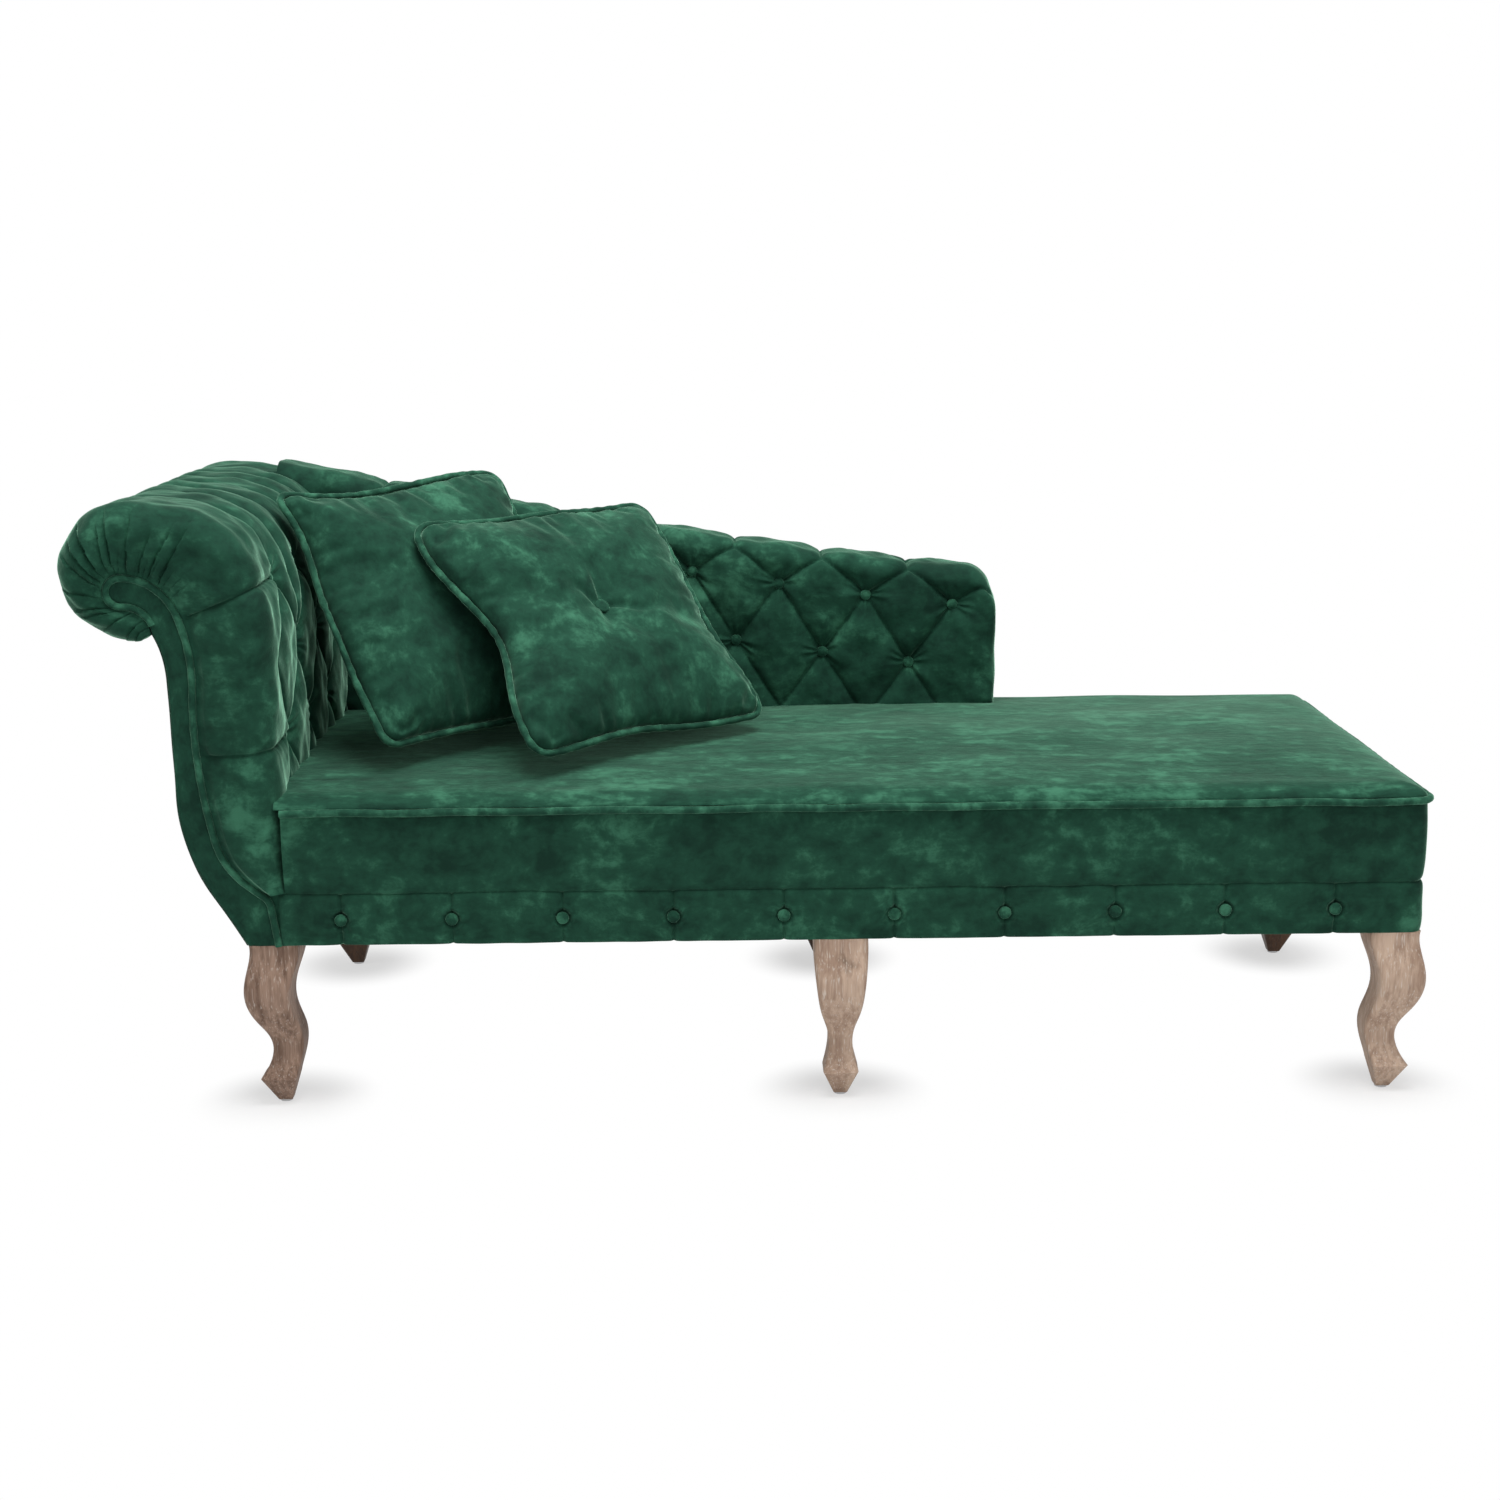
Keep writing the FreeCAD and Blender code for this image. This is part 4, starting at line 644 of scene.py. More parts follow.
# %% Covered buttons
def covered_button(at, out, radius, thick):
    """Points of a round covered button: a soft dome with one ring where its cloth is gathered."""
    out = np.array(out, float) / np.linalg.norm(out)
    side = np.cross(out, [0.31, 0.22, 0.92])
    side /= np.linalg.norm(side)
    other = np.cross(out, side)
    turns = np.linspace(0.0, 2.0 * math.pi, 24, endpoint=False)
    rings = []
    for share in np.linspace(0.0, 1.0, 12):
        bend = share * math.pi / 2.0
        reach = radius * math.sin(bend) ** 0.8 + 1e-5
        lift = thick * math.cos(bend) ** 0.7
        lift -= 0.7 * MM * math.exp(-((share - 0.42) / 0.12) ** 2)
        circle = np.cos(turns)[:, None] * side + np.sin(turns)[:, None] * other
        rings.append(np.array(at) + out * lift + circle * reach)
    return np.array(rings)


def button_row(name, spots, radius, thick):
    """All the buttons of one cover, joined in one piece."""
    parts = [surface(name + "_part", covered_button(at, out, radius, thick), ring=True)
             for at, out in spots]
    with bpy.context.temp_override(active_object=parts[0], selected_editable_objects=parts):
        bpy.ops.object.join()
    parts[0].name = name
    return parts[0]


BUTTON_RADIUS = 8.0 * MM
BUTTON_THICK = 5.0 * MM
BUTTON_PROUD = 0.2 * MM
path_points = band_path(0.0)
band_button_spots = []
for place, way in zip(at_lengths(path_points, band_spots),
                      carried(path_points, band_path(1.0) - path_points, band_spots)):
    place = place + way * BUTTON_PROUD
    band_button_spots.append(((place[0], place[1], BAND_MIDDLE), (way[0], way[1], 0.0)))
dress(button_row("band_buttons_covered", band_button_spots, BUTTON_RADIUS, BUTTON_THICK - 0.5 * MM),
      VELVET_TRIM_HIGHLIT, ["band_buttons"])

# %% [markdown]
# ## The scrolled arm
# The arm is a padded board that curls outwards into a roll. Seen from the front, two lines matter:
# the facing, which is the flat scroll-shaped end with its piping, and outside it the padded outline.
# The cover runs from the piping outwards over the front, turns over a soft rim, runs across the arm
# from front to rear, and ends at the rear facing. So the grid follows the padded outline in one
# direction and goes from front to rear in the other.

# %% The two outlines
WAIST_X = -726.0 * MM
ARM_BASE_X = -649.0 * MM
BAND_LEFT_X = -604.0 * MM
ROLL = np.array([-769.0, 694.0]) * MM
ROLL_RADIUS = 81.0 * MM
EYE = np.array([-775.0, 671.0]) * MM
EYE_RADIUS = 22.5 * MM
ROLL_RISE = ROLL[1] - BAND_BASE


def arm_z(share):
    """Height on the arm as a share of the rise from the rail to the middle of the roll."""
    return BAND_BASE + share * ROLL_RISE


joint = np.array([ROLL[0] + 28.0 * MM, 0.0])
joint[1] = ROLL[1] - math.sqrt(ROLL_RADIUS ** 2 - (joint[0] - ROLL[0]) ** 2)
outside_line = arcs([(ARM_BASE_X, BAND_BASE), (WAIST_X + 37.0 * MM, arm_z(0.141)),
                     (WAIST_X, arm_z(0.423)), (WAIST_X, arm_z(0.718)), joint], 120.0)
eye_under = arcs([joint, EYE - (0.0, EYE_RADIUS)], 92.6)
eye_round = arcs([EYE - (0.0, EYE_RADIUS), EYE - (EYE_RADIUS, 0.0), EYE + (0.0, EYE_RADIUS)], 180.0)
flank_x = WAIST_X + 38.0 * MM
inside_line = arcs([EYE + (0.0, EYE_RADIUS), (WAIST_X + 21.0 * MM, arm_z(0.897)),
                    (flank_x - 3.0 * MM, arm_z(0.697)), (flank_x, arm_z(0.444)),
                    (flank_x + 12.0 * MM, arm_z(0.293)), (ARM_BASE_X + 3.0 * MM, arm_z(0.185)),
                    (BAND_LEFT_X - 18.0 * MM, arm_z(0.145)), (BAND_LEFT_X - 7.0 * MM, arm_z(0.107)),
                    (BAND_LEFT_X, BAND_BASE)], 0.0)
face_line = np.concatenate([eye_under, eye_round[1:], inside_line[1:]])
pad_start = math.degrees(math.asin((joint[0] - ROLL[0]) / ROLL_RADIUS))
padded_line = arcs([joint, ROLL - (ROLL_RADIUS, 0.0), ROLL + (0.0, ROLL_RADIUS),
                    (ROLL[0] + ROLL_RADIUS - 2.0 * MM, ROLL[1] + 0.88 * ROLL_RADIUS),
                    (ARM_INNER_X - 27.0 * MM, ROLL[1] + 0.26 * ROLL_RADIUS),
                    (ARM_INNER_X - 2.0 * MM, ROLL[1] - 0.67 * ROLL_RADIUS),
                    (ARM_INNER_X, ROLL[1] - 1.16 * ROLL_RADIUS),
                    (ARM_INNER_X, BAND_TOP)], 180.0 + pad_start)
print("padded outline %.3f m, facing line %.3f m" % (lengths(padded_line)[-1], lengths(face_line)[-1]))

# %% [markdown]
# Each place on the padded outline answers to a place on the facing's line, as the threads of the
# cloth run. A few pairs fix this, and the rest lies between them.

# %% Pair the padded outline with the facing
pairs = [
    (joint, joint),
    (ROLL - (ROLL_RADIUS, 0.0), EYE - (EYE_RADIUS, 0.0)),
    (ROLL + (0.0, ROLL_RADIUS), EYE + (0.0, EYE_RADIUS)),
    ((-0.690, 0.765), (-0.738, 0.679)),
    ((-0.625, 0.715), (-0.712, 0.655)),
    ((-0.608, 0.675), (-0.702, 0.638)),
    ((ARM_INNER_X, 0.569), (-0.692, 0.556)),
    ((ARM_INNER_X, 0.463), (-0.688, 0.463)),
    ((ARM_INNER_X, 0.330), (-0.664, 0.334)),
    ((ARM_INNER_X, BAND_TOP), (-0.624, 0.289)),
]
pad_marks = [length_at(padded_line, pad) for pad, face in pairs]
face_marks = [length_at(face_line, face) for pad, face in pairs]
shoulder_mark = pad_marks[3]

ARM_ROW_LOW = 463.0 * MM
ARM_ROW_STEP = 106.0 * MM
ARM_PITCH = 140.0 * MM
ARM_FIRST_Y = -190.5 * MM
row_marks = []
for row in range(3):
    z = ARM_ROW_LOW + row * ARM_ROW_STEP
    below = padded_line[:, 0] > -0.66
    row_marks.append(lengths(padded_line)[below][np.argmin(np.abs(padded_line[below][:, 1] - z))])
print("button rows lie at", [round(mark, 3) for mark in row_marks], "m along the outline")

# %% [markdown]
# ## Buttons and pleats of the arm
# The cloth between the buttons lies in diamonds, and every line of a diamond is a pleat. They are
# laid out on the flat cloth first: one number runs round the outline, the other along the roll.

# %% Buttons and pleats on the plan of the arm
arm_buttons = []
for row, mark in enumerate(row_marks):
    shift = ARM_PITCH / 2.0 if row == 1 else 0.0
    y = ARM_FIRST_Y + shift
    while y < BACK_FRONT_Y - 48.0 * MM:
        arm_buttons.append((mark, y))
        y += ARM_PITCH

low_mark, middle_mark, top_mark = row_marks
rim_y = HALF_DEPTH
arm_pleats = []
for number in range(7):
    y = ARM_FIRST_Y + number * ARM_PITCH / 2.0
    on_top_row = number % 2 == 0
    arm_pleats.append(((0.0, y), (top_mark if on_top_row else middle_mark, y)))
    if on_top_row:
        for side in (-1.0, 1.0):
            beside = y + side * ARM_PITCH / 2.0
            arm_pleats.append(((top_mark, y), (middle_mark, beside)))
            arm_pleats.append(((low_mark, y), (middle_mark, beside)))
            arm_pleats.append(((low_mark, y), (low_mark + 110.0 * MM, beside)))
for mark in (top_mark, low_mark):
    arm_pleats.append(((mark, ARM_FIRST_Y), (mark, -rim_y - 90.0 * MM)))
print("arm:", len(arm_buttons), "buttons,", len(arm_pleats), "pleats")

# %% [markdown]
# At the front the cover is gathered round the eye of the scroll: a fan of folded pleats starts at the
# piping and runs out towards the rim, each at its own angle and length. Long folds then lead from the
# top row of buttons over the roll.

# %% The arm's cover
RIM = 27.0 * MM
OUTLINE_STEPS = 560
GATHER_FACE = 1.1
TUCK_DEEP, TUCK_WIDE = 8.0 * MM, 6.0 * MM
FACE_PUFF = 8.0 * MM
FOLD_DEEP, FOLD_WIDE = 3.6 * MM, 11.0 * MM
FACE_STEPS = 46
RIM_STEPS = 14
TOP_STEPS = 230
GATHERS = 15

outline_marks = np.linspace(0.0, lengths(padded_line)[-1], OUTLINE_STEPS)
outline = at_lengths(padded_line, outline_marks)
facing = at_lengths(face_line, np.interp(outline_marks, pad_marks, face_marks))
reach = np.linalg.norm(outline - facing, axis=1)
toward = (outline - facing) / np.maximum(reach, 1e-6)[:, None]
rim = np.minimum(RIM, reach * 0.55 + 1e-5)


def half_section():
    """Distance from the facing, depth and plan place from the front piping to the middle."""
    share = np.linspace(0.0, 1.0, FACE_STEPS)
    bend = np.linspace(0.0, math.pi / 2.0, RIM_STEPS + 1)[1:]
    flat_reach = np.maximum(reach - rim, 0.0)
    out_face = flat_reach[:, None] * share
    out_rim = flat_reach[:, None] + rim[:, None] * np.sin(bend)
    y_face = np.full(out_face.shape, -HALF_DEPTH)
    y_rim = -HALF_DEPTH + rim[:, None] * (1.0 - np.cos(bend))
    across = np.linspace(0.0, 1.0, TOP_STEPS // 2 + 1)[1:]
    y_top = (-HALF_DEPTH + rim)[:, None] * (1.0 - across)
    out_top = np.repeat(reach[:, None], len(across), axis=1)
    plan_face = -HALF_DEPTH - (reach - rim)[:, None] * (1.0 - share) - 0.5 * rim[:, None]
    plan_rim = -HALF_DEPTH - 0.5 * rim[:, None] + 1.2 * rim[:, None] * bend / (math.pi / 2.0)
    start = -HALF_DEPTH + 0.7 * rim[:, None]
    plan_top = start * (1.0 - across)
    return (np.concatenate([out_face, out_rim, out_top], axis=1),
            np.concatenate([y_face, y_rim, y_top], axis=1),
            np.concatenate([plan_face, plan_rim, plan_top], axis=1))


out_front, y_front, plan_front = half_section()
out_all = np.concatenate([out_front, out_front[:, -2::-1]], axis=1)
y_all = np.concatenate([y_front, -y_front[:, -2::-1]], axis=1)
plan_all = np.concatenate([plan_front, -plan_front[:, -2::-1]], axis=1)
arm_grid = np.empty(out_all.shape + (3,))
arm_grid[..., 0] = facing[:, :1] + toward[:, :1] * out_all
arm_grid[..., 1] = y_all
arm_grid[..., 2] = facing[:, 1:] + toward[:, 1:] * out_all
arm_plan = np.stack([np.repeat(outline_marks[:, None], plan_all.shape[1], axis=1), plan_all], axis=-1)

face_share = np.clip(out_all / np.maximum(reach, 1e-6)[:, None], 0.0, 1.0)
on_face = np.clip((HALF_DEPTH - np.abs(y_all)) / RIM, 0.0, 1.0)
on_face = (1.0 - on_face) ** 2

dice = np.random.default_rng(41)
gather_depth = np.zeros(out_all.shape)


def folded(place, spread):
    """A pleat in section: the cloth rises to a lip, drops over it and comes up slowly behind."""
    return np.where(place > 0.0, np.exp(-place / spread), -0.55 * np.exp(place / (1.3 * spread)))


for number in range(GATHERS):
    mark = shoulder_mark * (number + 0.5 + dice.uniform(-0.22, 0.22)) / (GATHERS - 1.0)
    width = dice.uniform(4.5, 7.5) * MM
    length = dice.uniform(0.8, 1.6)
    lean = dice.uniform(-9.0, 9.0) * MM
    spread = width * (0.40 + GATHER_FACE * face_share)
    place = outline_marks[:, None] - mark - lean * face_share
    fade = np.clip(1.0 - face_share / length, 0.0, 1.0) ** 0.6
    side = 1.0 if mark < 0.5 * shoulder_mark else -1.0
    gather_depth += dice.uniform(5.0, 8.0) * MM * fade * folded(side * place, spread)
for number in range(9):
    mark = shoulder_mark * (0.78 + 0.05 * number)
    place = outline_marks[:, None] - mark - 14.0 * MM * face_share
    fade = np.clip(1.0 - face_share / 0.45, 0.0, 1.0)
    gather_depth += 2.6 * MM * fade * folded(-place, 5.0 * MM)
tuck = TUCK_DEEP * np.exp(-out_all / TUCK_WIDE)
puff = FACE_PUFF * np.sin(math.pi * np.clip(face_share, 0.0, 1.0)) ** 0.8 * on_face
creased = 1.3 * MM * drift(np.stack([outline_marks[:, None] + 0.0 * out_all, out_all], axis=-1),
                           38.0 * MM, 43)
sides = on_face * (puff - gather_depth - tuck + creased)
button_field = tufted(arm_plan, arm_buttons, arm_pleats, 5)
over_roll = np.clip((top_mark - arm_plan[..., 0]) / (30.0 * MM), 0.0, 1.0) * (1.0 - on_face)
long_folds = np.zeros(out_all.shape)
for number in range(7):
    bent = 5.0 * MM * np.sin(arm_plan[..., 0] / (70.0 * MM) + number)
    place = arm_plan[..., 1] - ARM_FIRST_Y - number * ARM_PITCH / 2.0 - bent * over_roll
    long_folds += folded(place, FOLD_WIDE)
arm_out = button_field + sides - FOLD_DEEP * long_folds * over_roll
arm_out *= np.clip(outline_marks / (14.0 * MM), 0.15, 1.0)[:, None]
arm_out *= np.clip(out_all / (12.0 * MM), 0.08, 1.0)
arm_grid = arm_grid + outward(arm_grid) * arm_out[..., None]
arm_cover = dress(surface("arm_inner_velvet", arm_grid), VELVET_UPRIGHT,
                  ["arm_inner_cover", "arm_pad"])
print("arm: front at %.4f m, top at %.4f m" % (arm_grid[..., 1].min(), arm_grid[..., 2].max()))

# %% [markdown]
# ## Buttons of the arm
# Each button sits in the bottom of its hollow, so it is sunk below the padded outline and faces
# along the outward direction there.

# %% Buttons of the arm
BUTTON_SUNK = 12.0 * MM


def on_outline(mark):
    """A place on the padded outline and the outward direction there."""
    here, there = at_lengths(padded_line, [mark - 0.002, mark + 0.002])
    run = (there - here) / np.linalg.norm(there - here)
    return (here + there) / 2.0, np.array([run[1], -run[0]])


arm_button_spots = []
for mark, y in arm_buttons:
    place, out = on_outline(mark)
    if out[0] < 0.0:
        out = -out
    sunk = place - out * BUTTON_SUNK
    arm_button_spots.append(((sunk[0], y, sunk[1]), (out[0], 0.0, out[1])))
dress(button_row("arm_buttons_covered", arm_button_spots, BUTTON_RADIUS, BUTTON_THICK), VELVET_TRIM_HIGHLIT,
      ["arm_buttons"])

# %% [markdown]
# ## Facings, their piping and the outside of the arm
# The facing is one flat strip of velvet from the foot of the arm up into the eye of the scroll. Its
# outer edge is turned in, which leaves a second line beside the edge, and its inner edge carries the
# piping. Front and rear are the same strip mirrored.

# %% Facings
FACING_Y = 305.3 * MM
FACING_FOLD = 9.0 * MM
outer_side = np.concatenate([outside_line, eye_under[1:], eye_round[1:25]])
inner_side = np.concatenate([eye_round[24:], inside_line[1:]])[::-1]
outer_even = even(outer_side, 360)
inner_even = even(inner_side, 360)
inner_marks = np.interp(lengths(outer_even) / lengths(outer_even)[-1],
                        [0.0, 0.13, 0.26, 0.55, 0.80, 1.0], [0.0, 0.16, 0.30, 0.60, 0.80, 1.0])
inner_even = at_lengths(inner_side, inner_marks * lengths(inner_side)[-1])
across = 1.0 - (1.0 - np.linspace(0.0, 1.0, 40)) ** 1.5
width = np.linalg.norm(inner_even - outer_even, axis=1)
flat = outer_even[:, None, :] + (inner_even - outer_even)[:, None, :] * across[None, :, None]
from_side = across[None, :] * width[:, None]
facing_plan = np.stack([np.repeat(lengths(outer_even)[:, None], 40, axis=1), from_side], axis=-1)
rise = 1.2 * MM * np.sin(math.pi * across)[None, :] + 0.5 * MM * drift(facing_plan, 55.0 * MM, 31)
fold = 1.5 * MM * np.exp(-np.abs(from_side - FACING_FOLD) / (1.6 * MM))
edge = 4.0 * MM * np.exp(-from_side / (1.6 * MM))


def facing_piece(name, side):
    grid = np.stack([flat[..., 0], side * (FACING_Y + rise - fold - edge), flat[..., 1]], axis=-1)
    return surface(name, grid if side > 0 else grid[:, ::-1])


# The facings take a darker copy of the velvet: painted shade.
VELVET_FACING_SHADED = velvet("velvet of the facings, painted shade", (0.9, 0.9, 0.5), lift=-0.02, cloud_size=10.0)
dress(facing_piece("arm_facing_front_velvet", -1.0), VELVET_FACING_SHADED, ["arm_facing_front"])
dress(facing_piece("arm_facing_rear_velvet", 1.0), VELVET_FACING_SHADED, ["arm_facing_rear"])

# %% [markdown]
# ## Piping of the facings
# The cord follows the inner edge of the facing from under the roll, round the eye and down to the
# rail. It lies just outside that edge, so it covers the join with the padded cover.

# %% Facing piping
FACING_PIPING = 4.5 * MM
FACING_PIPING_Y = 305.8 * MM
PIPING_BESIDE = 4.8 * MM
piped = even(np.concatenate([eye_under[-20:], eye_round[1:], inside_line[1:]]), 420)
run = np.gradient(piped, axis=0)
run /= np.linalg.norm(run, axis=1, keepdims=True)
piped = piped + np.column_stack([run[:, 1], -run[:, 0]]) * PIPING_BESIDE
for name, side in (("front", -1.0), ("rear", 1.0)):
    level = np.full(len(piped), side * FACING_PIPING_Y)
    line = np.column_stack([piped[:, 0], level, piped[:, 1]])
    dress(cord("arm_piping_" + name + "_velvet", line, FACING_PIPING, seed=17), VELVET_TRIM_HIGHLIT,
          ["arm_facing_piping_" + name])

# %% [markdown]
# ## Outside of the arm
# Nothing is buttoned on the outside: one stretched sheet runs from the rail up under the roll.
# It only wavers a little, which keeps it from looking like a board.

# %% Outside of the arm
OUTSIDE_HALF = 303.5 * MM
OUTSIDE_ROWS = 150
OUTSIDE_COLUMNS = 120
outside_even = even(outside_line, OUTSIDE_ROWS)
outside_ys = np.linspace(-OUTSIDE_HALF, OUTSIDE_HALF, OUTSIDE_COLUMNS)
outside_grid = np.stack([np.repeat(outside_even[:, :1], OUTSIDE_COLUMNS, axis=1),
                         np.repeat(outside_ys[None, :], OUTSIDE_ROWS, axis=0),
                         np.repeat(outside_even[:, 1:], OUTSIDE_COLUMNS, axis=1)], axis=-1)
outside_plan = np.stack([outside_grid[..., 2], outside_grid[..., 1]], axis=-1)
outside_grid += outward(outside_grid) * (0.9 * MM * drift(outside_plan, 120.0 * MM, 51))[..., None]
dress(surface("arm_outer_velvet", outside_grid), VELVET_UPRIGHT, ["arm_outer_cover"])

# %% [markdown]
# ## The buttoned back
# The back is a padded wall that falls in one curve towards the foot end. Its cover is one skin: up
# the front in deep-buttoned diamonds, over the rounded top and down the rear. Sections across the
# wall are set one after another along it, and pleats run on over the top, where they leave the dents
# that make its outline wavy.

# %% Height of the back and its plan of buttons
BACK_PEAK = 777.0 * MM
BACK_END_HEIGHT = 612.0 * MM
BACK_CURVE = 1.22
BACK_HEAD_X = ROLL[0] + ROLL_RADIUS
BACK_ROUND = 26.0 * MM
BACK_CORNER = 46.0 * MM
BACK_SIDE_ROUND = 15.0 * MM
BACK_PITCH = 128.0 * MM
BACK_ROW_STEP = 93.0 * MM
BACK_FIRST_DROP = 55.0 * MM
BACK_FOOT_Z = 402.0 * MM
DENTS_END = 84.0 * MM
DENTS_FADE = 50.0 * MM
LOWEST_ROW_Z = 445.0 * MM
OVER_THE_TOP = 22.0 * MM


def back_top(x):
    """Height of the top of the back over its length."""
    share = np.maximum((BACK_END_X - x) / (BACK_END_X - BACK_HEAD_X), 0.0)
    return BACK_END_HEIGHT + (BACK_PEAK - BACK_END_HEIGHT) * share ** BACK_CURVE


back_buttons = []
for row in range(3):
    x = BACK_END_X - 66.0 * MM - row % 2 * BACK_PITCH / 2.0
    while x > ARM_INNER_X + 24.0 * MM:
        if back_top(x) - BACK_FIRST_DROP - row * BACK_ROW_STEP > LOWEST_ROW_Z:
            back_buttons.append((x, BACK_ROUND - BACK_FIRST_DROP - row * BACK_ROW_STEP))
        x -= BACK_PITCH

back_pleats = []
for x, fall in back_buttons:
    for side in (-1.0, 1.0):
        beside = x + side * BACK_PITCH / 2.0
        if beside > BACK_END_X:
            continue
        if fall + BACK_ROW_STEP < 0.0:
            back_pleats.append(((x, fall), (beside, fall + BACK_ROW_STEP)))
        else:
            back_pleats.append(((x, fall), (beside, OVER_THE_TOP)))
            back_pleats.append(((beside, OVER_THE_TOP), (beside, 150.0 * MM)))
        if back_top(x) + fall - BACK_ROUND - BACK_ROW_STEP < LOWEST_ROW_Z:
            back_pleats.append(((x, fall), (beside, fall - BACK_ROW_STEP)))
print("back:", len(back_buttons), "buttons,", len(back_pleats), "pleats")

# %% [markdown]
# ## The cover of the back
# A section goes up the front, over the round top and down the rear. One section for each step
# along the back makes a single skin, and rows that close inwards make its end at the foot side.

# %% The back's cover
side_bends = np.linspace(0.0, 1.0, 10)[1:]
back_xs = np.concatenate([np.linspace(BACK_HEAD_X, BACK_END_X - BACK_SIDE_ROUND, 520),
                          BACK_END_X - BACK_SIDE_ROUND * (1.0 - np.sin(side_bends * math.pi / 2.0))])
into = np.maximum(back_xs - (BACK_END_X - BACK_SIDE_ROUND), 0.0)
inset = BACK_SIDE_ROUND - np.sqrt(np.maximum(BACK_SIDE_ROUND ** 2 - into ** 2, 0.0))
corner_into = np.clip(back_xs - (BACK_END_X - BACK_CORNER), 0.0, BACK_CORNER)
corner_drop = BACK_CORNER - np.sqrt(BACK_CORNER ** 2 - corner_into ** 2 * 0.96)
tops = back_top(back_xs) - corner_drop - inset * 0.4

rise_share = np.linspace(0.0, 1.0, 150)
bends = np.linspace(0.0, math.pi / 2.0, 16)[1:]
top_share = np.linspace(0.0, 1.0, 12)[1:]
fall_share = np.linspace(0.0, 1.0, 14)[1:]
columns = []
for x, top, narrow in zip(back_xs, tops, inset):
    front = BACK_FRONT_Y + narrow
    rear = HALF_DEPTH - 1.0 * MM - narrow
    radius = BACK_ROUND
    shoulder = top - radius
    z_up = BACK_FOOT_Z + (shoulder - BACK_FOOT_Z) * rise_share
    ys = [np.full_like(z_up, front), front + radius * (1.0 - np.cos(bends)),
          front + radius + (rear - front - 2.0 * radius) * top_share,
          rear - radius + radius * np.sin(bends), np.full_like(fall_share, rear)]
    zs = [z_up, shoulder + radius * np.sin(bends), np.full_like(top_share, top),
          top - radius + radius * np.cos(bends), shoulder + (BACK_FOOT_Z - shoulder) * fall_share]
    plans = [z_up - shoulder, radius * bends, radius * math.pi / 2.0 + 40.0 * MM * top_share,
             92.0 * MM + radius * bends, 133.0 * MM + 100.0 * MM * fall_share]
    section = np.column_stack([np.concatenate(ys), np.concatenate(zs), np.concatenate(plans)])
    columns.append(np.column_stack([np.full(len(section), x), section]))
columns = np.array(columns)
back_grid = columns[..., :3]
back_plan = columns[..., [0, 3]]
stands = tufted(back_plan, back_buttons, back_pleats, 71)
past_top = np.clip((back_plan[..., 1] - DENTS_END) / DENTS_FADE, 0.0, 1.0)
to_end = np.clip((BACK_END_X - back_plan[..., 0]) / (9.0 * MM), 0.0, 1.0)
foot_fade = np.clip((back_grid[..., 2] - BACK_FOOT_Z) / (20.0 * MM), 0.0, 1.0)
stands = stands * (1.0 - past_top) * to_end * (0.3 + 0.7 * foot_fade)
back_grid = back_grid + outward(back_grid) * stands[..., None]
near_end = np.clip(1.0 - (BACK_END_X - back_plan[..., 0]) / (45.0 * MM), 0.0, 1.0)
back_grid[..., 0] += near_end * (1.8 * MM * drift(back_grid[..., 1:], 85.0 * MM, 77) - 1.2 * MM)
closing = []
for share in np.linspace(0.0, 1.0, 9)[1:]:
    last = back_grid[-1]
    middle = np.column_stack([last[:, 0], np.full(len(last), (BACK_FRONT_Y + HALF_DEPTH) / 2.0),
                              np.minimum(last[:, 2], tops[-1] - BACK_ROUND)])
    closed = last + (middle - last) * share
    closed[:, 0] += 3.5 * MM * math.sin(share * math.pi / 2.0)
    closing.append(closed)
back_grid = np.concatenate([back_grid, np.array(closing)], axis=0)
back_cover = dress(surface("back_inner_velvet", back_grid), VELVET_UPRIGHT,
                   ["back_inner_cover", "back_pad"])

# %% [markdown]
# ## Buttons of the back
# They lie in the hollows of the plan above and face straight forward, as the wall under them does.

# %% Buttons of the back
back_button_spots = []
for x, fall in back_buttons:
    z = back_top(x) - BACK_ROUND + fall
    back_button_spots.append(((x, BACK_FRONT_Y + BUTTON_SUNK, z), (0.0, -1.0, 0.0)))
dress(button_row("back_buttons_covered", back_button_spots, BUTTON_RADIUS, BUTTON_THICK), VELVET_TRIM_HIGHLIT,
      ["back_buttons"])

# %% [markdown]
# ## The rear
# The rear is a plain sheet from the rail up to the rounded top. At the head end it turns inwards
# behind the arm, as a tacked edge does, so that no timber shows at the corner.

# %% Plain rear cover
REAR_PAST_END = 1.5 * MM
REAR_BELOW_TOP = 28.6 * MM
REAR_END_FALL = 24.0 * MM
REAR_SUNK = 1.6 * MM
FLAP_DEEP = 16.0 * MM
FLAP_RAIL_DEEP = 3.4 * MM
rear_xs = np.linspace(ARM_INNER_X, BACK_END_X + REAR_PAST_END, 260)
rear_shares = np.linspace(0.0, 1.0, 60)
near_corner = np.clip((rear_xs - BACK_END_X + BACK_CORNER) / BACK_CORNER, 0.0, 1.0)
rear_top = back_top(rear_xs) - REAR_BELOW_TOP - REAR_END_FALL * near_corner ** 2.2
rear_z = BAND_BASE + (rear_top[:, None] - BAND_BASE) * rear_shares[None, :]
rear_x = np.repeat(rear_xs[:, None], len(rear_shares), axis=1)
rear_plan = np.stack([rear_x, rear_z], axis=-1)
edge_in = np.minimum(np.clip((1.0 - rear_shares) / 0.02, 0.0, 1.0)[None, :],
                     np.clip((BACK_END_X - rear_xs) / (6.0 * MM), 0.0, 1.0)[:, None])
rear_out = 1.8 * MM + 0.9 * MM * drift(rear_plan, 150.0 * MM, 81)
rear_y = HALF_DEPTH - REAR_SUNK + rear_out * edge_in
rear_grid = np.stack([rear_x, rear_y, rear_z], axis=-1)
first = rear_grid[0]
at_rail = first[:, 2] < BAND_TOP + 7.0 * MM
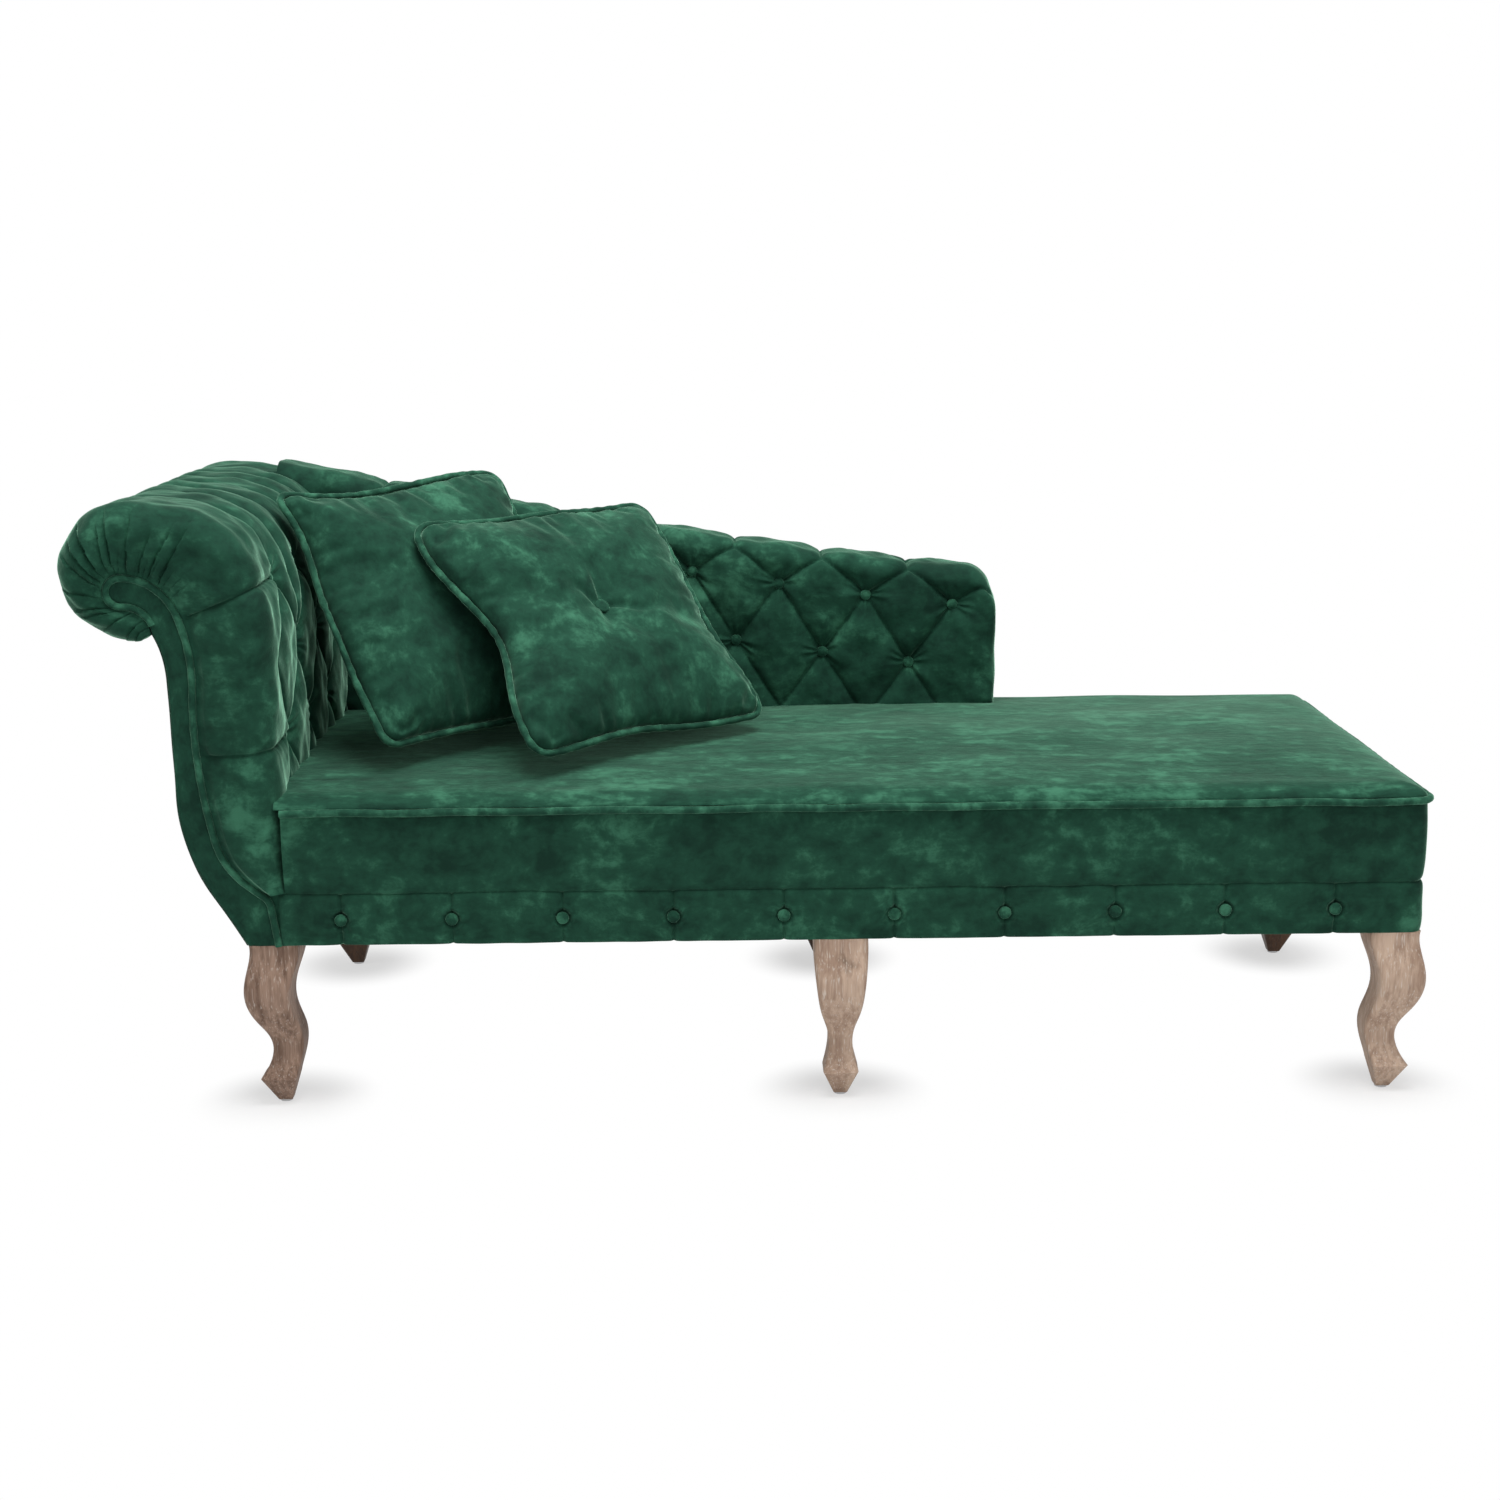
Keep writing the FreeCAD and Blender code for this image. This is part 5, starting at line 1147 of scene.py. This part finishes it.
flap = np.column_stack([np.where(at_rail, BAND_START_X, ARM_INNER_X - 14.0 * MM),
                        HALF_DEPTH - np.where(at_rail, FLAP_RAIL_DEEP, FLAP_DEEP), first[:, 2]])
half_way = (first + flap) / 2.0
half_way[:, 1] = np.where(at_rail, HALF_DEPTH - 3.0 * MM, HALF_DEPTH - 6.0 * MM)
rear_grid = np.concatenate([flap[None], half_way[None], rear_grid])
dress(surface("back_outer_velvet", rear_grid[::-1]), VELVET_UPRIGHT, ["back_outer_cover"])

# %% [markdown]
# ## Loose cushions
# A scatter cushion is two squares of velvet sewn round a piping and stuffed. Its shape comes from
# the cloth itself: when the flat cover swells, its sides pull in, its corners stay thin as ears and
# folds run in from the seam. So the cover starts as a thin double square, and Blender's cloth
# blows it up. The seam's own place is held, and afterwards the thickness is brought to the size of
# the solid that the cushion stands for.

# %% Where each cushion leans
CUSHION_HALF = 200.0 * MM
CUSHION_THICK = 110.0 * MM
CUSHION_PIPING = 5.0 * MM
CUSHION_STEPS = 80
EAR_ROUND = 0.13
PLUMP = 0.72
FRONT_FULL = 1.12


def leaning(turn, lean):
    """Directions along a cushion's lower edge, up its face and out of its face."""
    turn, lean = math.radians(turn), math.radians(lean)
    along = np.array([math.cos(turn), math.sin(turn), 0.0])
    behind = np.array([-math.sin(turn), math.cos(turn), 0.0])
    up = np.array([0.0, 0.0, 1.0]) * math.cos(lean) + behind * math.sin(lean)
    return np.array([along, up, np.cross(along, up)])


def bowed_square(square, half, bows):
    """Draws in the sides of a square. Each side has three waves: one bow, an S and a double bow."""
    into = np.abs(square) - (1.0 - EAR_ROUND)
    pressed = into.max(axis=-1) / np.maximum(np.linalg.norm(into, axis=-1), 1e-9)
    pressed = np.where(into.min(axis=-1) > 0.0, pressed, 1.0)[..., None]
    square = np.sign(square) * (1.0 - EAR_ROUND + into * pressed)
    u, v = square[..., 0], square[..., 1]
    drawn = [np.zeros_like(u), np.zeros_like(u)]
    for (axis, side), waves in bows.items():
        across, along = (u, v) if axis == 0 else (v, u)
        turn = math.pi * (along + 1.0) / 2.0
        inward = sum(size * np.sin((number + 1) * turn) for number, size in enumerate(waves))
        drawn[axis] -= side * inward * MM * np.clip(side * across, 0.0, 1.0) ** 2
    return np.stack([u * half + drawn[0], v * half + drawn[1]], axis=-1)


def flat_cover(name, half, thick, bows, seed):
    """Two squares of cloth joined round a wavy seam, a little apart."""
    side = np.linspace(-1.0, 1.0, CUSHION_STEPS)
    square = np.stack(np.meshgrid(side, side, indexing="ij"), axis=-1)
    bowed = bowed_square(square, half, bows)
    wave = 3.5 * MM * drift(bowed, 170.0 * MM, seed) * np.abs(square).max(axis=-1) ** 4
    rise = thick * ((1.0 - square[..., 0] ** 2) * (1.0 - square[..., 1] ** 2)) ** 0.42
    rise = rise * (1.0 + 0.05 * drift(square, 0.6, 7))
    count = CUSHION_STEPS ** 2
    index = np.arange(count).reshape(CUSHION_STEPS, CUSHION_STEPS)
    inner = np.zeros_like(index, bool)
    inner[1:-1, 1:-1] = True
    points = np.concatenate([np.dstack([bowed, wave + rise]).reshape(-1, 3),
                             np.dstack([bowed, wave - rise])[inner]])
    below = index.copy()
    below[inner] = count + np.arange(inner.sum())
    piece = smooth_piece(name, points, np.concatenate([quads(index), quads(below)[:, ::-1]]))
    places = np.concatenate([square.reshape(-1, 2), square[inner]])
    facing_up = np.concatenate([np.ones(count), -np.ones(inner.sum())])
    return piece, index, places, facing_up


def mesh_points(piece):
    """The vertices of a mesh as an array."""
    points = np.empty(len(piece.data.vertices) * 3)
    piece.data.vertices.foreach_get("co", points)
    return points.reshape(-1, 3)


def set_points(piece, points):
    piece.data.vertices.foreach_set("co", points.ravel())
    piece.data.update()

# %% [markdown]
# ## Blow up the cushions
# Modelling folds by hand looks carved. The cloth solver finds them: pressure pushes both faces out
# while the seam is held. A cap on the travel keeps each cushion within the size of its solid.

# %% Blow up the cover with cloth
CLOTH_FRAMES = 22
CLOTH_PRESSURE = 4.0
GREATEST_MOVE = 26.0 * MM


def swell(piece, held, pressure):
    """Runs the cloth for a few frames, keeps the shape, and caps how far a point may move."""
    before = mesh_points(piece)
    group = piece.vertex_groups.new(name="held")
    for share, members in held:
        group.add([int(member) for member in members], share, "REPLACE")
    cloth = piece.modifiers.new("stuffing", "CLOTH")
    settings = cloth.settings
    settings.quality = 6
    settings.mass = 0.25
    settings.tension_stiffness = 14.0
    settings.compression_stiffness = 6.0
    settings.shear_stiffness = 5.0
    settings.bending_stiffness = 0.35
    settings.use_pressure = True
    settings.uniform_pressure_force = pressure
    settings.shrink_min = -0.035
    settings.vertex_group_mass = "held"
    settings.effector_weights.gravity = 0.0
    cloth.collision_settings.use_collision = False
    cloth.point_cache.frame_start = 1
    cloth.point_cache.frame_end = CLOTH_FRAMES
    for step in range(1, CLOTH_FRAMES + 1):
        bpy.context.scene.frame_set(step)
    shown = piece.evaluated_get(bpy.context.evaluated_depsgraph_get())
    after = np.empty(len(shown.data.vertices) * 3)
    shown.data.vertices.foreach_get("co", after)
    piece.modifiers.remove(cloth)
    bpy.context.scene.frame_set(1)
    move = after.reshape(-1, 3) - before
    size = np.linalg.norm(move, axis=1, keepdims=True)
    print(piece.name, "moved up to %.1f mm" % (size.max() / MM))
    return before + move * np.minimum(1.0, GREATEST_MOVE / np.maximum(size, 1e-9))


# %% [markdown]
# The cloth gives the broad shape. The small folds are sewn ones and lie in known places: short
# gathers square to the seam, a fan out of each corner, and creases that run into the tuft.

# %% Folds of the seam, the corners and the tuft
CORNER_FANS = [(-1, -1, 2.4), (-1, 1, 2.2), (1, -1, 4.0), (1, 1, 2.2)]


def sewn_folds(places, half, seed):
    """How far the small folds near the seam stand out."""
    u, v = places[:, 0], places[:, 1]
    from_seam = (1.0 - np.abs(places).max(axis=1)) * half
    beside_u = np.abs(u) > np.abs(v)
    along = np.where(beside_u, v, u) * half
    apart = np.where(beside_u, 0.4, 0.0) * np.sign(u + 2.0 * v)
    plan = np.column_stack([along, from_seam * 0.22 + apart])
    small = drift(plan, 17.0 * MM, seed) + 0.8 * drift(plan, 34.0 * MM, seed + 1)
    rise = 1.7 * MM * small * np.exp(-from_seam / (34.0 * MM))
    for number, (sign_u, sign_v, depth) in enumerate(CORNER_FANS):
        into = (1.0 - places * (sign_u, sign_v)) * half
        away = np.linalg.norm(into, axis=1)
        turn = np.arctan2(into[:, 1], into[:, 0])
        fan = np.sin(9.0 * turn + 1.3 * np.sin(3.0 * turn + number) + number)
        rise += depth * MM * fan * np.exp(-away / (62.0 * MM)) * np.clip(away / (22.0 * MM), 0.0, 1.0)
    return rise * np.clip(from_seam / (5.0 * MM), 0.0, 1.0)


def tuft_pull(places, half, depth, seed):
    """How far a tuft button draws the face in, with its creases."""
    away = np.linalg.norm(places, axis=1) * half
    turn = np.arctan2(places[:, 1], places[:, 0])
    bend = 0.35 * drift(places, 0.5, seed)
    star = np.abs(np.cos(2.0 * (turn + bend) + 0.5)) ** 7
    star += 0.5 * np.abs(np.cos(3.5 * turn + 1.0 + bend)) ** 9
    pull = depth * np.exp(-(away / (50.0 * MM)) ** 1.05)
    ridge = np.clip(away / (12.0 * MM), 0.0, 1.0) * np.exp(-away / (70.0 * MM))
    return pull + 9.0 * MM * star * ridge

# %% [markdown]
# ## Both cushions
# The two cushions differ in how they lean, how their sides are drawn in and in the tuft. All of
# that is given as numbers to one function, which also lays the piping along the blown-up seam.

# %% Make both cushions
SEAM_OVER = 3.2 * MM
FLAT_THICK = 36.0 * MM
TUFT_DEEP = 31.0 * MM
TUFT_REAR_SHARE = 0.78
CUSHION_BUTTON_RADIUS = 11.0 * MM


def cushion(name, centre, turn, lean, bows, tuft, seed):
    """Cover and piping of one cushion, leaned into place."""
    half = CUSHION_HALF - 2.0 * CUSHION_PIPING
    cover, index, places, face = flat_cover(name + "_cushion_velvet", half, FLAT_THICK, bows, seed)
    edge = np.concatenate([index[0, :-1], index[:-1, -1], index[-1, :0:-1], index[:0:-1, 0]])
    flat = mesh_points(cover)
    points = swell(cover, [(1.0, edge)], CLOTH_PRESSURE)
    thick = np.abs(points[:, 2]) / np.abs(points[:, 2]).max()
    fullness = np.where(face > 0.0, FRONT_FULL, 1.0)
    points[:, 2] = face * CUSHION_THICK / 2.0 * thick ** PLUMP * fullness
    points[edge, 2] = flat[edge, 2]
    rise = sewn_folds(places, half, seed + 2)
    rise += 1.8 * MM * drift(places * half, 70.0 * MM, seed + 4) * (1.0 - np.abs(places).max(axis=1))
    if tuft:
        rise -= tuft_pull(places, half, tuft, seed) * np.where(face > 0.0, 1.0, TUFT_REAR_SHARE)
    points[:, 2] += face * rise
    axes = leaning(turn, lean)
    seam = points[edge]
    out_of_seam = seam[:, :2] / np.linalg.norm(seam[:, :2], axis=1, keepdims=True)
    piping_line = seam.copy()
    piping_line[:, :2] += out_of_seam * SEAM_OVER
    set_points(cover, centre + points @ axes)
    closed_line = np.concatenate([piping_line, piping_line[:1]])
    dense = even(closed_line, 500)[:-1]
    cord_piece = cord(name + "_cushion_piping_velvet", centre + dense @ axes,
                      CUSHION_PIPING - 0.4 * MM, closed=True, unevenness=0.5 * MM, seed=seed)
    subdivide = cover.modifiers.new("smooth cloth", "SUBSURF")
    subdivide.levels = 1
    subdivide.render_levels = 1
    return cover, cord_piece, axes


rear_centre = np.array([-425.7, 15.9, 606.1]) * MM
front_centre = np.array([-221.9, -7.2, 581.4]) * MM
rear_bows = {(0, -1): (6.0, -6.0, 4.0), (0, 1): (8.0, 0.0, 3.0), (1, 1): (13.0, 6.0, 0.0),
             (1, -1): (7.0, 0.0, 2.0)}
front_bows = {(0, -1): (21.0, 3.0, -13.0), (0, 1): (4.0, 2.0, 0.0), (1, 1): (9.0, 0.0, 3.0),
              (1, -1): (6.0, 4.0, -3.0)}
rear_cover, rear_cord, _ = cushion("rear", rear_centre, 46.0, 34.6, rear_bows, 0.0, 101)
dress(rear_cover, VELVET_CUSHION_LIT, ["rear_cushion_cover", "rear_cushion_filling"], "rear_cushion")
dress(rear_cord, VELVET_TRIM_HIGHLIT, ["rear_cushion_piping"], "rear_cushion")
front_cover, front_cord, front_axes = cushion("front", front_centre, 40.2, 45.1, front_bows,
                                              TUFT_DEEP, 131)
dress(front_cover, VELVET_CUSHION_LIT, ["front_cushion_cover", "front_cushion_filling"],
      "front_cushion")
dress(front_cord, VELVET_TRIM_HIGHLIT, ["front_cushion_piping"], "front_cushion")

# %% [markdown]
# ## Buttons of the front cushion
# One thread ties the two buttons through the cushion. Their place is read from the finished cover,
# so that each sits on the cloth at the bottom of its tuft.

# %% Buttons of the front cushion
solid = mesh_points(frame["nodes"]["front_cushion_buttons"])
solid = (solid - front_centre) @ front_axes.T
print("packed buttons reach from %.1f to %.1f mm" % (solid[:, 2].min() / MM, solid[:, 2].max() / MM))
local = (mesh_points(front_cover) - front_centre) @ front_axes.T
cushion_button_spots = []
for side in (-1.0, 1.0):
    near = (np.linalg.norm(local[:, :2], axis=1) < 10.0 * MM) & (local[:, 2] * side > 0.0)
    level = local[near, 2].mean()
    at = front_centre + front_axes[2] * level
    cushion_button_spots.append((at, front_axes[2] * side))
    print("button of the front cushion sits %.1f mm from the seam plane" % (level / MM))
cushion_buttons = button_row("front_cushion_buttons_covered", cushion_button_spots,
                             CUSHION_BUTTON_RADIUS, BUTTON_THICK)
dress(cushion_buttons, VELVET_TRIM_HIGHLIT, ["front_cushion_buttons"], "front_cushion")

# %% [markdown]
# ## Wood, metal and the hidden frame
# The front legs are limed: white wax stays in the pores of a pale, slightly pink wood, so the grain
# runs as fine chalky and brown streaks down the leg. The rear legs take a dark copy of the leg wood
# with almost no wax in the pores; that darkness is painted shade, as they stand in shadow under the
# seat. Their packed solids have the right shape, so only their finish changes.

# %% Finishes of the solid parts
WAX = (0.62, 0.56, 0.50)


def wood(name, pale, brown, dark, lime, rough):
    """Wood whose grain runs up the piece."""
    paint = Paint(bpy.data.materials.new(name))
    broad = paint.noise((1.0, 1.0, 0.12), 34.0, detail=4.0, rough=0.6, bend=1.2)
    grain = paint.noise((1.0, 1.0, 0.045), 210.0, detail=3.0, rough=0.65, bend=0.4)
    pores = paint.noise((1.0, 1.0, 0.05), 620.0, detail=2.0, rough=0.5)
    patch = paint.noise((1.0, 1.0, 0.6), 14.0, detail=3.0, rough=0.55, bend=0.6)
    streak = paint.between(broad * 0.55 + grain * 0.45, 0.36, 0.62)
    colour = paint.blend(streak, brown, pale)
    knots = paint.between(patch, 0.66, 0.76)
    colour = paint.blend(knots * 0.8, colour, dark)
    colour = paint.blend(paint.between(pores, 0.56, 0.72) * lime, colour, WAX)
    height = grain * 0.5 + pores * 0.35 + broad * 0.4
    return paint.finish({
        "Base Color": colour,
        "Roughness": rough + 0.15 * grain,
        "Specular IOR Level": 0.3,
        "Normal": paint.bump(height, 0.8 * MM, 0.6),
    })


def plain_cloth(name, light, dark, weave, rough=0.95):
    """Loose woven or felted cloth, seen only from below."""
    paint = Paint(bpy.data.materials.new(name))
    threads = paint.noise(EVEN, weave, detail=2.0)
    patch = paint.noise(EVEN, 12.0)
    colour = paint.blend(paint.between(threads * 0.6 + patch * 0.4, 0.35, 0.65), dark, light)
    return paint.finish({"Base Color": colour, "Roughness": rough - 0.1 * patch,
                         "Normal": paint.bump(threads, 0.6 * MM, 0.5)})


def steel(name):
    """Zinc-plated steel with faint rolling marks."""
    paint = Paint(bpy.data.materials.new(name))
    marks = paint.noise((1.0, 0.1, 1.0), 300.0, detail=2.0)
    colour = paint.blend(marks, (0.42, 0.42, 0.43), (0.62, 0.62, 0.62))
    return paint.finish({"Base Color": colour, "Metallic": 1.0, "Roughness": 0.32 + 0.2 * marks,
                         "Normal": paint.bump(marks, 0.2 * MM, 0.3)})


finishes = {
    "wood_front": wood("limed wood", (0.50, 0.365, 0.275), (0.29, 0.19, 0.135),
                       (0.06, 0.035, 0.02), 0.6, 0.55),
    # The rear legs' dark wood is painted shade.
    "wood_rear": wood("leg wood painted dark as shade", (0.11, 0.055, 0.028), (0.05, 0.024, 0.012),
                      (0.02, 0.01, 0.006), 0.05, 0.40),
    "frame_timber": wood("rough rail timber", (0.58, 0.42, 0.26), (0.44, 0.29, 0.16),
                         (0.25, 0.13, 0.06), 0.1, 0.7),
    "plywood": wood("plywood", (0.60, 0.45, 0.29), (0.48, 0.33, 0.19), (0.3, 0.18, 0.09), 0.1, 0.7),
    "steel": steel("zinc-plated steel"),
    "foam": plain_cloth("foam and wadding", (0.78, 0.74, 0.60), (0.70, 0.64, 0.48), 500.0),
    "hessian": plain_cloth("hessian", (0.46, 0.34, 0.20), (0.28, 0.19, 0.10), 380.0),
    "dust_cloth": plain_cloth("black dust cloth", (0.03, 0.03, 0.032), (0.012, 0.012, 0.013), 600.0),
}
slot_of = {part["node"]: part["material_slot"] for part in frame["record"]["subparts"]}
# The left front leg takes a darker copy of the limed wood: painted shade, as the light falls off
# towards the head end.
shaded_leg_wood = wood("limed wood, painted shade on the left front leg", (0.31, 0.205, 0.150), (0.13, 0.075, 0.050),
                 (0.035, 0.018, 0.011), 0.4, 0.55)
kept = 0
for node, piece in frame["nodes"].items():
    finish = shaded_leg_wood if node == "leg_front_left" else finishes.get(slot_of[node])
    if finish is None:
        continue
    piece.data.materials.clear()
    piece.data.materials.append(finish)
    kept += 1
print(kept, "solids keep their shape and take a finish")

# %% [markdown]
# ## Studio
# The photograph is a cut-out on white with soft shadows under the feet: a large soft lamp above the
# seat, a weak one from the front, a weaker one from the head end, and an even white room. The floor
# takes the shadow near the feet, and shines white further out so that it has no edge.

# %% Floor and backdrop
FLOOR_HALF = 30.0
SHADOW_NEAR = 0.035
SHADOW_FAR = 0.13
SHADOW_SHARE = 0.58


def foot_place(node):
    """Where the foot of a leg stands on the floor."""
    points = mesh_points(frame["nodes"][node])
    low = points[points[:, 2] < points[:, 2].min() + 6.0 * MM]
    return (float(low[:, 0].mean()), float(low[:, 1].mean()), 0.0)


def backdrop(feet):
    """A floor that takes a soft shadow near the feet and is plain white further out."""
    edges = np.array([-FLOOR_HALF, FLOOR_HALF])
    level = np.stack([*np.meshgrid(edges, edges, indexing="ij"), np.zeros((2, 2))], axis=-1)
    floor = surface("floor", level)
    paint = Paint(bpy.data.materials.new("white floor"))
    matt = paint.node("ShaderNodeBsdfDiffuse", {}, {"Color": (0.80, 0.80, 0.80)}).wire("BSDF")
    white = paint.node("ShaderNodeEmission", {}, {"Color": (1.0, 1.0, 1.0), "Strength": 1.0})
    here = paint.place()
    nearest = None
    for foot in feet:
        away = paint.node("ShaderNodeVectorMath", {"operation": "DISTANCE"}, {0: here, 1: foot})
        away = away.wire("Value")
        nearest = away if nearest is None else nearest.reckon("MINIMUM", nearest, away)
    light_path = paint.node("ShaderNodeLightPath")
    seen = light_path.wire("Is Camera Ray") + light_path.wire("Is Glossy Ray")
    open_share = paint.between(nearest, SHADOW_NEAR, SHADOW_FAR)
    share = (SHADOW_SHARE + (1.0 - SHADOW_SHARE) * open_share) * seen
    mixed = paint.node("ShaderNodeMixShader", {}, {0: share, 1: matt, 2: white.wire("Emission")})
    paint.node("ShaderNodeOutputMaterial", {}, {"Surface": mixed.wire("Shader")})
    floor.data.materials.append(paint.owner)


legs = [node for node in frame["nodes"] if node.startswith(("leg_front_", "leg_rear_"))]
feet = [foot_place(node) for node in sorted(legs)]
print("feet at", [(round(x, 3), round(y, 3)) for x, y, _ in feet])
backdrop(feet)


def room(strength):
    """An even white room: white where it is seen, and soft light elsewhere."""
    world = bpy.data.worlds.new("studio")
    bpy.context.scene.world = world
    paint = Paint(world)
    path = paint.node("ShaderNodeLightPath")
    camera_ray = path.wire("Is Camera Ray")
    seen = camera_ray.reckon("MAXIMUM", camera_ray, path.wire("Is Transmission Ray"))
    sockets = {"Color": (1.0, 1.0, 1.0), "Strength": strength + (1.0 - strength) * seen}
    background = paint.node("ShaderNodeBackground", {}, sockets).wire("Background")
    paint.node("ShaderNodeOutputWorld", {}, {"Surface": background})


room(0.40)

# %% [markdown]
# ## Lamps
# A photographer's softboxes give broad light without hard edges. Square area lamps do the same.

# %% Lamps
def lamp(name, place, aim, size, power):
    """A large square soft lamp that points at a place."""
    light = bpy.data.lights.new(name, "AREA")
    light.shape = "SQUARE"
    light.size = size
    light.energy = power
    holder = bpy.data.objects.new(name, light)
    holder.location = place
    holder.rotation_euler = (Vector(aim) - Vector(place)).to_track_quat("-Z", "Y").to_euler()
    bpy.context.scene.collection.objects.link(holder)


lamp("soft lamp over the seat", (0.15, -0.45, 3.3), (0.0, 0.0, 0.4), 2.0, 120.0)
lamp("weak lamp from the front", (1.6, -3.2, 2.0), (0.1, 0.0, 0.4), 1.8, 22.0)
lamp("weak lamp from the head end", (-2.8, -1.2, 2.2), (-0.7, 0.0, 0.6), 1.4, 14.0)

# %% [markdown]
# ## Camera
# The view was solved from the photograph: the six feet and the edges of the seat fix where the
# camera stood. It stands a little above the back, looks down by 13 degrees and is level but for half
# a degree, through a 50 mm lens.

# %% Camera
CAMERA_PLACE = (-0.037, -2.8245, 1.046)
CAMERA_YAW = math.radians(0.59)
CAMERA_PITCH = math.radians(12.96)
CAMERA_ROLL = math.radians(-0.50)


def camera_axes(yaw, pitch, roll):
    """Right, up and forward of a camera that looks along +Y when it is turned by nothing."""
    level = math.cos(pitch)
    forward = Vector((math.sin(yaw) * level, math.cos(yaw) * level, -math.sin(pitch)))
    right = Vector((math.cos(yaw), -math.sin(yaw), 0.0))
    up = right.cross(forward)
    return (right * math.cos(roll) + up * math.sin(roll),
            up * math.cos(roll) - right * math.sin(roll), forward)


view = bpy.data.cameras.new("photograph view")
view.lens = 50.0
view.sensor_width = 36.0
camera = bpy.data.objects.new("photograph view", view)
bpy.context.scene.collection.objects.link(camera)
right, up, forward = camera_axes(CAMERA_YAW, CAMERA_PITCH, CAMERA_ROLL)
turned = Matrix((right, up, -forward)).transposed().to_4x4()
camera.matrix_world = Matrix.Translation(CAMERA_PLACE) @ turned
bpy.context.scene.camera = camera
bpy.context.scene.view_settings.view_transform = "Standard"
